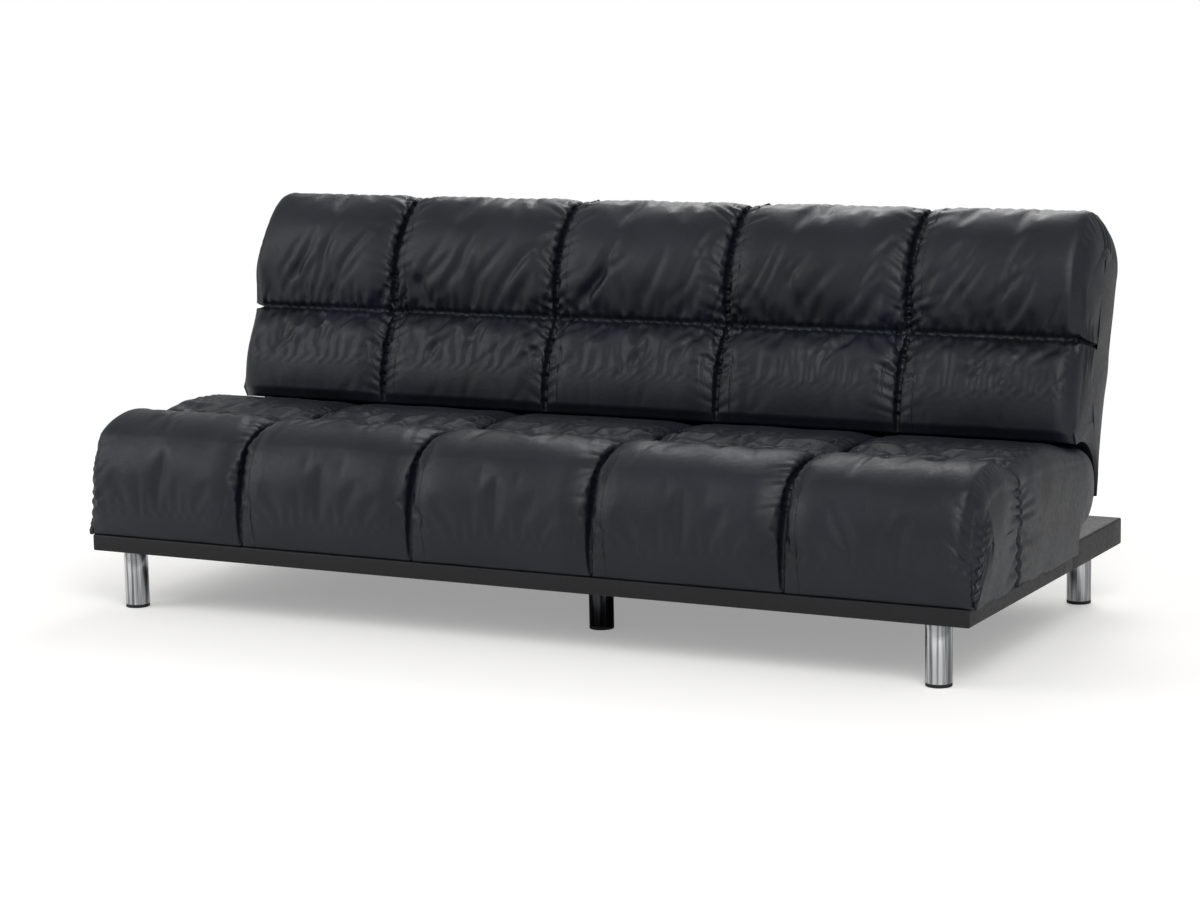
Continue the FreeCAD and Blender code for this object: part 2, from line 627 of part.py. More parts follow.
def make_hinge(side, sign):
    """One click clack hinge: lower plate, toothed arm, pin, pawl and spring."""
    arm_x = ("hinge_across", "hinge_across + hinge_plate")
    plate_x = ("hinge_across - hinge_gap - hinge_plate", "hinge_across - hinge_gap")
    lower = plate_between(f"hinge_lower_plate_{side}", sign, plate_x, LOWER_PLATE)
    bores = [("hinge_back", "hinge_up", "pin_radius"), ("pawl_back", "pawl_up", "pawl_pin_radius")]
    round_feature(lower, "bores", sign, plate_x, bores, True)
    round_feature(lower, "stud", sign, (plate_x[1], arm_x[1]), [(*SPRING_STUD, STUD_RADIUS)],
                  False)

    arm = plate_between(f"hinge_arm_{side}", sign, arm_x, ARM_STRAP, in_back)
    round_feature(arm, "disc", sign, arm_x, [("0", "0", "ratchet_radius")], False)
    round_feature(arm, "bore", sign, arm_x, [("0", "0", "pin_radius + pin_clearance")], True)
    add_ratchet(arm, sign, arm_x)

    pawl = plate_between(f"pawl_{side}", sign, arm_x, PAWL)
    round_feature(pawl, "bore", sign, arm_x,
                  [("pawl_back", "pawl_up", "pawl_pin_radius + pin_clearance")], True)
    plate_between(f"pawl_spring_{side}", sign, arm_x, PAWL_SPRING)

    def at_pawl(body):
        body.setExpression("Placement.Base.y", bound("pawl_back"))
        body.setExpression("Placement.Base.z", bound("pawl_up"))
    return (make_pin(f"hinge_pin_{side}", sign, plate_x, arm_x, "pin_radius", at_hinge),
            make_pin(f"pawl_pin_{side}", sign, plate_x, arm_x, "pawl_pin_radius", at_pawl))


def make_pin(label, sign, plate_x, arm_x, radius, place):
    """A rivet through a lower plate and what turns beside it."""
    head = f"{radius} * {RIVET_HEAD}"
    inside, outside = plate_x[0], f"{arm_x[1]} + {RIVET_PLAY}"
    steps = [(inside, "0"), (inside, radius), (outside, radius), (outside, head),
             (f"{outside} + {RIVET_HEAD_THICK}", head), (f"{outside} + {RIVET_HEAD_THICK}", "0")]
    if sign < 0:
        steps = [(f"-({x})", r) for x, r in steps]
    return turned(label, steps, place, "XY_Plane", "H_Axis")


def make_hinges():
    """Both hinges, with the pins of each kind kept as one node."""
    hinge_pins, pawl_pins = zip(*(make_hinge(side, sign) for side, sign in SIDES))
    group("hinge_pins", list(hinge_pins))
    group("pawl_pins", list(pawl_pins))


def check_and_export():
    """Stop at any failed object, then write each node's shape."""
    failed = [o.Name for o in doc.Objects if {"Invalid", "Error"} & set(o.State)]
    if failed:
        raise RuntimeError(f"failed objects: {failed}")
    os.makedirs(OUT_DIR, exist_ok=True)
    for label, node in nodes.items():
        shape = node.Shape
        if shape.isNull() or not shape.isValid() or not shape.Solids:
            raise RuntimeError(f"{label} has no valid solid")
        shape.exportStep(f"{OUT_DIR}/{label}.step")
        print(f"{label}: {len(shape.Solids)} solid(s), {shape.Volume / 1000:.1f} cm3")
    print(f"{len(nodes)} nodes")


make_base_frame()
make_base_skins()
make_legs()
make_seat_frame()
make_seat_webbing()
make_seat_cushion()
make_seat_foam()
make_back_frame()
make_back_foam()
make_back_cushion()
make_hinges()
doc.recompute()
check_and_export()
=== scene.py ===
"""Click clack sofa bed: cushions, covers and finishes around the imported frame.

X runs along the sofa, Y to the rear and Z up, in metres. Sizes are given in
millimetres, as the frame's own values are, and turned to metres by MM.
"""
from __future__ import annotations

import json
import logging
import math
from dataclasses import dataclass, field
from enum import Enum
from typing import Any, Sequence

import bpy
import numpy as np
from mathutils import Matrix, Vector

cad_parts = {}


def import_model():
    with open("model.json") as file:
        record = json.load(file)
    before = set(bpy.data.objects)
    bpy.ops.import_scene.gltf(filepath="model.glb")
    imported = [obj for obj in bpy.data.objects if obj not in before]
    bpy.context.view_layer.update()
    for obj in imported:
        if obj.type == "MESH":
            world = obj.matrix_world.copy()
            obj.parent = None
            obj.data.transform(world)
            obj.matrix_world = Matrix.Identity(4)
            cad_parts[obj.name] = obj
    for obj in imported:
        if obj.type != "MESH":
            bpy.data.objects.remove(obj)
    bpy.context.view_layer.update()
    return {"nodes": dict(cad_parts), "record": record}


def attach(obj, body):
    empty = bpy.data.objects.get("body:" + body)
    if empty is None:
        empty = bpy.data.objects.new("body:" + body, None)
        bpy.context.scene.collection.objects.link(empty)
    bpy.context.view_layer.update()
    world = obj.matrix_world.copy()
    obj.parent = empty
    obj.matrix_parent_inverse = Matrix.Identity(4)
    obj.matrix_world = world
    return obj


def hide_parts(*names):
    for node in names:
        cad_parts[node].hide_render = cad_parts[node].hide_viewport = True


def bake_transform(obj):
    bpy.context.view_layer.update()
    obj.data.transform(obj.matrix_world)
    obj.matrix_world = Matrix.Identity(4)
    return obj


LOG = logging.getLogger("click_clack_sofa")
MM = 0.001
# A colour Mix node's two colours, by the number of their inputs.
MIX_A, MIX_B = 6, 7

# The frame's own values, in millimetres and degrees.
BASE_HALF = 900.0
BASE_FRONT, BASE_JOIN, BASE_REAR = -395.5, 129.5, 412.5
UNDERSIDE, PLINTH_TOP, BEAM_TOP = 112.0, 143.0, 162.0
HINGE_Y, HINGE_Z, LEAN = 165.0, 256.0, 17.5
SEAM_INNER, SEAM_OUTER = 186.0, 558.0
NOSE_RADIUS, NOSE_GAP = 83.0, 3.5
ARM_SLIT = (777.0, 788.0)
ROW_SEAM_Y = -190.0

# The two base covers overlap by this at their join, so that no timber shows in it.
JOIN_LAP = 2.2
# The back's cover ends a little before the rear panel's face, which lies over it.
REAR_FACE = 88.3


def to_linear(code: str) -> tuple[float, float, float, float]:
    """Turn an sRGB hex colour to the linear values that shaders take.

    Args:
        code: the colour as "#rrggbb".

    Returns:
        Red, green, blue and an alpha of one.
    """
    parts = [int(code[i:i + 2], 16) / 255 for i in (1, 3, 5)]
    linear = [p / 12.92 if p <= 0.04045 else ((p + 0.055) / 1.055) ** 2.4 for p in parts]
    return linear[0], linear[1], linear[2], 1.0


def add_node(tree: bpy.types.NodeTree, kind: str, settings: dict[str, Any] | None = None,
             inputs: dict[str, Any] | None = None) -> bpy.types.Node:
    """Add one node with its settings, and set or link its inputs.

    Args:
        tree: the material's or world's node tree.
        kind: the node's type name.
        settings: the node's own properties by name.
        inputs: a value, or another node's output socket, for each input by name.

    Returns:
        The new node.
    """
    node = tree.nodes.new(kind)
    for name, value in (settings or {}).items():
        setattr(node, name, value)
    for name, value in (inputs or {}).items():
        socket = node.inputs[name]
        if isinstance(value, bpy.types.NodeSocket):
            tree.links.new(value, socket)
        else:
            socket.default_value = value
    return node


def new_material(name: str) -> tuple[bpy.types.Material, bpy.types.NodeTree, bpy.types.NodeSocket]:
    """An empty material with its output node.

    Args:
        name: the material's name.

    Returns:
        The material, its node tree and the output's surface socket.
    """
    material = bpy.data.materials.new(name)
    material.use_nodes = True
    tree = material.node_tree
    tree.nodes.clear()
    output = tree.nodes.new("ShaderNodeOutputMaterial")
    return material, tree, output.inputs["Surface"]


@dataclass(frozen=True)
class Leatherette:
    """Coated cloth: an embossed plastic skin on a knitted backing.

    The skin is pressed with a fine pebble grain, so it gives soft broad highlights
    that break up along folds. The real grain is under a millimetre and is drawn a
    little coarser, so that it shows.
    """

    name: str
    colour: str
    sheen_colour: str
    roughness: float
    pebble_mm: float = 2.2
    crease_mm: float = 11.0
    mottle_mm: float = 140.0
    grain_depth_mm: float = 0.16

    def build(self) -> bpy.types.Material:
        """Build the node material.

        Returns:
            The leatherette material.
        """
        material, tree, surface = new_material(self.name)
        place = add_node(tree, "ShaderNodeTexCoord").outputs["Object"]
        pebble = add_node(tree, "ShaderNodeTexVoronoi", {"feature": "DISTANCE_TO_EDGE"},
                          {"Vector": place, "Scale": 1 / (self.pebble_mm * MM)})
        pebble_height = add_node(tree, "ShaderNodeMapRange", None,
                                 {"Value": pebble.outputs["Distance"], "From Max": 0.22})
        crease = add_node(tree, "ShaderNodeTexNoise", None,
                          {"Vector": place, "Scale": 1 / (self.crease_mm * MM),
                           "Detail": 6.0, "Roughness": 0.62, "Distortion": 0.6})
        mottle = add_node(tree, "ShaderNodeTexNoise", None,
                          {"Vector": place, "Scale": 1 / (self.mottle_mm * MM), "Detail": 3.0})
        share = add_node(tree, "ShaderNodeMapRange", None,
                         {"Value": mottle.outputs["Fac"], "From Min": 0.3, "From Max": 0.7})
        tint = add_node(tree, "ShaderNodeMix", {"data_type": "RGBA"},
                        {"Factor": share.outputs["Result"], MIX_A: to_linear(self.colour),
                         MIX_B: to_linear(self.sheen_colour)})
        roughness = add_node(tree, "ShaderNodeMapRange", None,
                             {"Value": crease.outputs["Fac"], "From Min": 0.3, "From Max": 0.7,
                              "To Min": self.roughness - 0.06, "To Max": self.roughness + 0.07})
        fine = add_node(tree, "ShaderNodeBump", None,
                        {"Height": pebble_height.outputs["Result"],
                         "Distance": self.grain_depth_mm * MM,
                         "Strength": 0.55})
        coarse = add_node(tree, "ShaderNodeBump", None,
                          {"Height": crease.outputs["Fac"], "Distance": 0.9 * MM,
                           "Strength": 0.5, "Normal": fine.outputs["Normal"]})
        shader = add_node(tree, "ShaderNodeBsdfPrincipled", None,
                          {"Base Color": tint.outputs[2], "Roughness": roughness.outputs["Result"],
                           "Normal": coarse.outputs["Normal"], "IOR": 1.5,
                           "Specular IOR Level": 0.42})
        tree.links.new(shader.outputs["BSDF"], surface)
        return material


@dataclass(frozen=True)
class DrawnMetal:
    """Metal with fine lines along its making: drawn tube or rolled sheet. A second colour paints
    reflection bands on it.
    """

    name: str
    colour: str
    roughness: float
    metallic: float = 1.0
    line_mm: float = 0.9
    stretch: tuple[float, float, float] = (1.0, 1.0, 0.02)
    depth_mm: float = 0.02
    # The dark colour and the width of the painted reflection bands; none if empty.
    painted_dark_reflection: str = ""
    reflection_band_mm: float = 7.0
    smudge_mm: float = 1000 / 45

    def build(self) -> bpy.types.Material:
        """Build the node material.

        Returns:
            The metal material.
        """
        material, tree, surface = new_material(self.name)
        place = add_node(tree, "ShaderNodeTexCoord").outputs["Object"]
        lined = add_node(tree, "ShaderNodeMapping", None, {"Vector": place, "Scale": self.stretch})
        lines = add_node(tree, "ShaderNodeTexNoise", None,
                         {"Vector": lined.outputs["Vector"], "Scale": 1 / (self.line_mm * MM),
                          "Detail": 3.0})
        smudge = add_node(tree, "ShaderNodeTexNoise", None,
                          {"Vector": place, "Scale": 1 / (self.smudge_mm * MM), "Detail": 4.0})
        level = add_node(tree, "ShaderNodeMapRange", None,
                         {"Value": smudge.outputs["Fac"], "From Min": 0.3, "From Max": 0.7,
                          "To Min": max(self.roughness - 0.04, 0.03),
                          "To Max": self.roughness + 0.08})
        bump = add_node(tree, "ShaderNodeBump", None,
                        {"Height": lines.outputs["Fac"], "Distance": self.depth_mm * MM,
                         "Strength": 0.35})
        tint: Any = to_linear(self.colour)
        # A second colour paints reflection bands into the base colour.
        if self.painted_dark_reflection:
            tint = self.painted_reflection_bands(tree, lined.outputs["Vector"])
        shader = add_node(tree, "ShaderNodeBsdfPrincipled", None,
                          {"Base Color": tint, "Metallic": self.metallic,
                           "Roughness": level.outputs["Result"],
                           "Normal": bump.outputs["Normal"]})
        tree.links.new(shader.outputs["BSDF"], surface)
        return material

    def painted_reflection_bands(self, tree: bpy.types.NodeTree,
               place: bpy.types.NodeSocket) -> bpy.types.NodeSocket:
        """Painted reflections: light and dark bands along a tube, for what its plating mirrors.

        Args:
            tree: the material's node tree.
            place: the stretched place on the piece.

        Returns:
            The colour with its painted reflection bands.
        """
        bands = add_node(tree, "ShaderNodeTexNoise", None,
                         {"Vector": place, "Scale": 1 / (self.reflection_band_mm * MM),
                          "Detail": 4.0, "Roughness": 0.65})
        share = add_node(tree, "ShaderNodeMapRange", None,
                         {"Value": bands.outputs["Fac"], "From Min": 0.4, "From Max": 0.6})
        return add_node(tree, "ShaderNodeMix", {"data_type": "RGBA"},
                        {"Factor": share.outputs["Result"], MIX_A: to_linear(self.painted_dark_reflection),
                         MIX_B: to_linear(self.colour)}).outputs[2]


@dataclass(frozen=True)
class Woven:
    """Cloth of crossing threads: webbing, dust cloth or a foam's open face."""

    name: str
    colour: str
    thread_mm: float
    roughness: float = 0.95
    depth_mm: float = 0.25

    def build(self) -> bpy.types.Material:
        """Build the node material.

        Returns:
            The cloth material.
        """
        material, tree, surface = new_material(self.name)
        place = add_node(tree, "ShaderNodeTexCoord").outputs["Object"]
        scale = math.pi / (self.thread_mm * MM) / 10
        height = None
        for direction in ("X", "Y"):
            wave = add_node(tree, "ShaderNodeTexWave", {"bands_direction": direction},
                            {"Vector": place, "Scale": scale, "Distortion": 0.4,
                             "Detail": 1.0})
            if height is None:
                height = wave.outputs["Fac"]
            else:
                height = add_node(tree, "ShaderNodeMath", {"operation": "MAXIMUM"},
                                  {0: height, 1: wave.outputs["Fac"]}).outputs["Value"]
        fleck = add_node(tree, "ShaderNodeTexNoise", None,
                         {"Vector": place, "Scale": 1 / (4 * self.thread_mm * MM), "Detail": 4.0})
        tone = to_linear(self.colour)[:3]
        shade = add_node(tree, "ShaderNodeMix", {"data_type": "RGBA"},
                         {"Factor": fleck.outputs["Fac"],
                          MIX_A: tuple(0.7 * part for part in tone) + (1.0,),
                          MIX_B: tuple(min(1.3 * part, 1.0) for part in tone) + (1.0,)})
        bump = add_node(tree, "ShaderNodeBump", None,
                        {"Height": height, "Distance": self.depth_mm * MM, "Strength": 0.7})
        shader = add_node(tree, "ShaderNodeBsdfPrincipled", None,
                          {"Base Color": shade.outputs[2], "Roughness": self.roughness,
                           "Sheen Weight": 0.2, "Normal": bump.outputs["Normal"]})
        tree.links.new(shader.outputs["BSDF"], surface)
        return material


@dataclass(frozen=True)
class Timber:
    """Sawn softwood: long grain lines with pale growth between them."""

    name: str
    pale: str
    dark: str
    ring_mm: float = 6.0

    def build(self) -> bpy.types.Material:
        """Build the node material.

        Returns:
            The timber material.
        """
        material, tree, surface = new_material(self.name)
        place = add_node(tree, "ShaderNodeTexCoord").outputs["Object"]
        along = add_node(tree, "ShaderNodeMapping", None,
                         {"Vector": place, "Scale": (0.06, 1.0, 1.0)})
        grain = add_node(tree, "ShaderNodeTexNoise", None,
                         {"Vector": along.outputs["Vector"], "Scale": 1 / (self.ring_mm * MM),
                          "Detail": 8.0, "Distortion": 1.2})
        share = add_node(tree, "ShaderNodeMapRange", None,
                         {"Value": grain.outputs["Fac"], "From Min": 0.35, "From Max": 0.68})
        tint = add_node(tree, "ShaderNodeMix", {"data_type": "RGBA"},
                        {"Factor": share.outputs["Result"], MIX_A: to_linear(self.pale),
                         MIX_B: to_linear(self.dark)})
        bump = add_node(tree, "ShaderNodeBump", None,
                        {"Height": grain.outputs["Fac"], "Distance": 0.3 * MM, "Strength": 0.4})
        shader = add_node(tree, "ShaderNodeBsdfPrincipled", None,
                          {"Base Color": tint.outputs[2], "Roughness": 0.75,
                           "Normal": bump.outputs["Normal"]})
        tree.links.new(shader.outputs["BSDF"], surface)
        return material


# Section drawing: points across (Y or rearward) and up, in millimetres.
Point = tuple[float, float]


def arc_points(first: Point, middle: Point, last: Point, count: int) -> np.ndarray:
    """Points along the circle through three points, without the last one.

    Args:
        first: where the arc starts.
        middle: a point that it passes.
        last: where it ends.
        count: how many points to return.

    Returns:
        An array of count points.
    """
    (ax, ay), (bx, by), (cx, cy) = first, middle, last
    double = 2 * (ax * (by - cy) + bx * (cy - ay) + cx * (ay - by))
    squares = [x * x + y * y for x, y in (first, middle, last)]
    centre_x = (squares[0] * (by - cy) + squares[1] * (cy - ay) + squares[2] * (ay - by)) / double
    centre_y = (squares[0] * (cx - bx) + squares[1] * (ax - cx) + squares[2] * (bx - ax)) / double
    start, via, stop = [math.atan2(y - centre_y, x - centre_x) for x, y in (first, middle, last)]
    full = 2 * math.pi
    sweep = (stop - start) % full
    if (via - start) % full > sweep:
        sweep -= full
    angles = start + sweep * np.arange(count) / count
    radius = math.hypot(ax - centre_x, ay - centre_y)
    return np.stack([centre_x + radius * np.cos(angles), centre_y + radius * np.sin(angles)], 1)


def line_points(first: Point, last: Point, count: int) -> np.ndarray:
    """Points evenly along a line, without the last one."""
    share = np.arange(count)[:, None] / count
    return np.array(first) * (1 - share) + np.array(last) * share


def path_points(corners: Sequence[Point], count: int) -> np.ndarray:
    """Points evenly along a polyline, without the last one.

    Args:
        corners: the polyline's corners.
        count: how many points to return.

    Returns:
        An array of count points.
    """
    corners = np.array(corners)
    reach = np.concatenate([[0], np.cumsum(np.linalg.norm(np.diff(corners, axis=0), axis=1))])
    wanted = np.arange(count) / count * reach[-1]
    return np.stack([np.interp(wanted, reach, corners[:, k]) for k in (0, 1)], 1)


def around(radius: float, degrees: float) -> Point:
    """A point about the origin, at this radius and angle."""
    return radius * math.cos(math.radians(degrees)), radius * math.sin(math.radians(degrees))


def rounded_step(distance: np.ndarray | float, width: float, power: float = 2.0) -> np.ndarray:
    """How far a padded surface has dropped near a seam: 1 on it, 0 a width away.

    Args:
        distance: from the seam, in the same unit as width.
        width: where the drop ends.
        power: how tightly the padding rolls into the seam.

    Returns:
        The share of the seam's full depth.
    """
    near = np.clip(1 - np.abs(distance) / width, 0, 1)
    return 1 - np.sqrt(np.clip(1 - near ** power, 0, 1))


@dataclass
class Section:
    """A cushion's side view: how many points each stretch of it takes.

    The first stretches carry the quilting; the rest are plain or hidden.
    """

    stretches: tuple[tuple[str, int], ...]

    @property
    def count(self) -> int:
        """All points round the section."""
        return sum(number for _, number in self.stretches)

    def span(self, name: str) -> tuple[int, int]:
        """The first point of a stretch and the first of the next one."""
        start = 0
        for label, number in self.stretches:
            if label == name:
                return start, start + number
            start += number
        raise KeyError(name)


SEAT_SECTION = Section((("front", 26), ("front_top", 26), ("rear_top", 34), ("slope", 6),
                        ("nose", 30), ("under", 4), ("heel", 3), ("floor", 36)))
BACK_SECTION = Section((("rear", 44), ("rear_round", 8), ("crown", 14), ("upper", 32),
                        ("lower", 24), ("chin", 3), ("lip", 5), ("hollow", 24)))


def seat_section(inset: float) -> np.ndarray:
    """The seat's side view, from the front edge over the top to the nose and below.

    Args:
        inset: how far a seam or an end draws the padding in.

    Returns:
        Points of the closed section, in Y and Z.
    """
    number = dict(SEAT_SECTION.stretches)
    front_low = (BASE_FRONT + 5, PLINTH_TOP)
    bulge = (-412.5 + inset, 225.0)
    shoulder = (-370.5 + 0.7 * inset, 340 - 0.7 * inset)
    front_crown = (-285.0, 373 - inset)
    row_seam = (ROW_SEAM_Y, 349 - 0.6 * inset)
    rear_crown = (-60.0, 371 - inset)
    rear_edge = (HINGE_Y - 60, 346 - 0.7 * inset)
    radius = NOSE_RADIUS - 1.0 - 0.6 * inset
    top, back, low = [(HINGE_Y + a, HINGE_Z + b)
                      for a, b in (around(radius, 100), around(radius, 5), around(radius, -90))]
    heel, join = (BASE_JOIN, PLINTH_TOP + 25), (BASE_JOIN, PLINTH_TOP)
    return np.concatenate([
        arc_points(front_low, bulge, shoulder, number["front"]),
        arc_points(shoulder, front_crown, row_seam, number["front_top"]),
        arc_points(row_seam, rear_crown, rear_edge, number["rear_top"]),
        line_points(rear_edge, top, number["slope"]),
        arc_points(top, back, low, number["nose"]),
        line_points(low, heel, number["under"]), line_points(heel, join, number["heel"]),
        line_points(join, front_low, number["floor"])])


def back_section(inset: float, drop: float = 0.0) -> np.ndarray:
    """The back's side view about the hinge, from its rear face over the top to the hollow.

    Args:
        inset: how far a seam or an end draws the padding in.
        drop: how far an end's rounded top corner comes down.

    Returns:
        Points of the closed section, rearward and up the back.
    """
    number = dict(BACK_SECTION.stretches)
    small = min(inset, 30.0)
    rear_top = (REAR_FACE, 455 - drop)
    rear_round = (82.0, 490 - 0.3 * inset - drop)
    top_rear = (50.0, 511 - 0.5 * inset - drop)
    crown = (0.0, 519 - 0.5 * inset - drop)
    top_front = (-52 + 0.7 * inset, 500 - 0.5 * inset - drop)
    row_seam = (-64 + 0.3 * inset, 265.0)
    front_low = (-84 + 0.8 * small, 92.0)
    corner = (-68 + 0.8 * small, 76.0)
    sweep = NOSE_RADIUS + NOSE_GAP + 0.5
    cusp = math.degrees(math.acos(corner[1] / sweep)) + 90
    hollow = [around(sweep, cusp), around(sweep, cusp / 2), (sweep, 0.0)]
    return np.concatenate([
        line_points((REAR_FACE, 0.0), rear_top, number["rear"]),
        arc_points(rear_top, rear_round, top_rear, number["rear_round"]),
        arc_points(top_rear, crown, top_front, number["crown"]),
        arc_points(top_front, (-100 + inset, 395.0), row_seam, number["upper"]),
        arc_points(row_seam, (-98 + inset, 165.0), front_low, number["lower"]),
        line_points(front_low, corner, number["chin"]),
        line_points(corner, hollow[0], number["lip"]),
        arc_points(*hollow, number["hollow"])])


class Hold(Enum):
    """Where a fold is deepest: at its seam, half way along, or the same all along."""

    AT_SEAM = "at_seam"
    HALF_WAY = "half_way"
    EVEN = "even"


@dataclass(frozen=True)
class Fold:
    """One crease or ridge, drawn on a cushion's unrolled cover in millimetres."""

    start: Point
    end: Point
    half_width: float
    height: float
    hold: Hold = Hold.AT_SEAM
    bow: float = 0.0


@dataclass
class Cover:
    """A cushion's cover as a grid: rows along X, points round the section.

    Attributes:
        points: place of each grid point, in millimetres.
        across: unrolled X of each row, running on over the end faces.
        round_way: unrolled distance round the section at each point.
        free: how far padding may swell at each point, from 0 to 1.
    """

    points: np.ndarray
    across: np.ndarray
    round_way: np.ndarray
    free: np.ndarray

    def refined(self) -> "Cover":
        """Put a point between every two, on a smooth curve through them.

        Returns:
            A cover with about four times the points.
        """
        def between(values: np.ndarray, closed: bool) -> np.ndarray:
            """Values with one more between each two, along the first axis."""
            if closed:
                before, after = np.roll(values, 1, 0), np.roll(values, -1, 0)
                further = np.roll(values, -2, 0)
            else:
                before = np.concatenate([values[:1], values[:-1]])
                after = np.concatenate([values[1:], values[-1:]])
                further = np.concatenate([values[2:], values[-1:], values[-1:]])
            middle = (9 * (values + after) - before - further) / 16
            mixed = np.empty((2 * len(values),) + values.shape[1:])
            mixed[0::2], mixed[1::2] = values, middle
            return mixed if closed else mixed[:-1]

        def both(values: np.ndarray) -> np.ndarray:
            """Values refined along the rows and round the section."""
            rows = between(values, False)
            return np.swapaxes(between(np.swapaxes(rows, 0, 1), True), 0, 1)

        way = between(np.append(self.round_way, self.round_way[-1] + 10.0), False)[:-1]
        return Cover(both(self.points), between(self.across, False), way,
                     np.clip(both(self.free[..., None])[..., 0], 0, 1))

    def normals(self) -> np.ndarray:
        """The cover's outward direction at each point.

        Returns:
            Unit vectors, one for each grid point.
        """
        along = np.gradient(self.points, axis=0)
        about = np.roll(self.points, -1, 1) - np.roll(self.points, 1, 1)
        normal = np.cross(along, about)
        length = np.linalg.norm(normal, axis=2, keepdims=True)
        return facing(self.points) * normal / np.maximum(length, 1e-9)

    def press(self, amount: np.ndarray) -> None:
        """Move every point outwards by an amount in millimetres."""
        self.points = self.points + self.normals() * amount[..., None]

    def fold_heights(self, folds: Sequence[Fold]) -> np.ndarray:
        """Add up the folds at each grid point.

        Args:
            folds: the creases and ridges to draw.

        Returns:
            The height of the cover's surface over its padding, in millimetres.
        """
        heights = np.zeros((len(self.across), len(self.round_way)))
        for fold in folds:
            reach = 2.6 * fold.half_width + abs(fold.bow)
            low_u, high_u = sorted((fold.start[0], fold.end[0]))
            low_v, high_v = sorted((fold.start[1], fold.end[1]))
            i0, i1 = np.searchsorted(self.across, (low_u - reach, high_u + reach))
            j0, j1 = np.searchsorted(self.round_way, (low_v - reach, high_v + reach))
            if i0 == i1 or j0 == j1:
                continue
            du = self.across[i0:i1, None] - fold.start[0]
            dv = self.round_way[None, j0:j1] - fold.start[1]
            run = np.array(fold.end) - np.array(fold.start)
            length = float(np.linalg.norm(run))
            ahead = (du * run[0] + dv * run[1]) / length ** 2
            aside = (du * run[1] - dv * run[0]) / length
            aside = aside - fold.bow * np.sin(math.pi * np.clip(ahead, 0, 1))
            if fold.hold is Hold.AT_SEAM:
                fade = np.clip(1 - ahead, 0, 1) * np.clip(1 + 6 * np.minimum(ahead, 0), 0, 1)
                narrow = 1 + 0.7 * np.clip(ahead, 0, 1)
            elif fold.hold is Hold.HALF_WAY:
                fade = np.sin(math.pi * np.clip(ahead, 0, 1)) ** 0.8
                narrow = 1.0
            else:
                fade = np.clip(12 * np.minimum(ahead, 1 - ahead) + 0.8, 0, 1)
                narrow = 1.0
            ratio = (aside / (fold.half_width * narrow)) ** 2
            heights[i0:i1, j0:j1] += fold.height * fade * (1 - 0.9 * ratio) * np.exp(-ratio)
        return heights


def facing(points: np.ndarray) -> int:
    """Whether a grid's rows and section run outwards (1) or inwards (-1)."""
    along = np.gradient(points, axis=0)
    about = np.roll(points, -1, 1) - np.roll(points, 1, 1)
    outward = points - points.reshape(-1, 3).mean(axis=0)
    return 1 if np.sum(np.cross(along, about) * outward) > 0 else -1


def deselect_all() -> None:
    """Leave edit mode and select nothing."""
    if bpy.context.object and bpy.context.object.mode != "OBJECT":
        bpy.ops.object.mode_set(mode="OBJECT")
    bpy.ops.object.select_all(action="DESELECT")


def grid_object(name: str, points: np.ndarray) -> tuple[bpy.types.Object, np.ndarray]:
    """Make a closed mesh from a grid that closes round its second axis.

    Args:
        name: the object's name.
        points: grid points in millimetres; doubled points become one vertex.

    Returns:
        The new object, in metres, and the vertex of each grid point.
    """
    rows, count = points.shape[:2]
    places, vertex_of = np.unique(np.round(points.reshape(-1, 3), 2), axis=0, return_inverse=True)
    index = vertex_of.reshape(rows, count)
    following = np.roll(index, -1, 1)
    quads = np.stack([index[:-1], index[1:], following[1:], following[:-1]], -1).reshape(-1, 4)
    if facing(points) < 0:
        quads = quads[:, ::-1]
    faces = [tuple(dict.fromkeys(quad)) for quad in quads.tolist()]
    mesh = bpy.data.meshes.new(name)
    mesh.from_pydata((places * MM).tolist(), [], [face for face in faces if len(face) > 2])
    piece = bpy.data.objects.new(name, mesh)
    bpy.context.collection.objects.link(piece)
    return piece, vertex_of.reshape(-1)


@dataclass
class ClothSettings:
    """How the padded cover is blown out against its seams."""

    pressure: float = 9.0
    slack: float = -0.03
    stiffness: float = 9.0
    bending: float = 7.0
    steps: int = 18
    cap_mm: float = 14.0


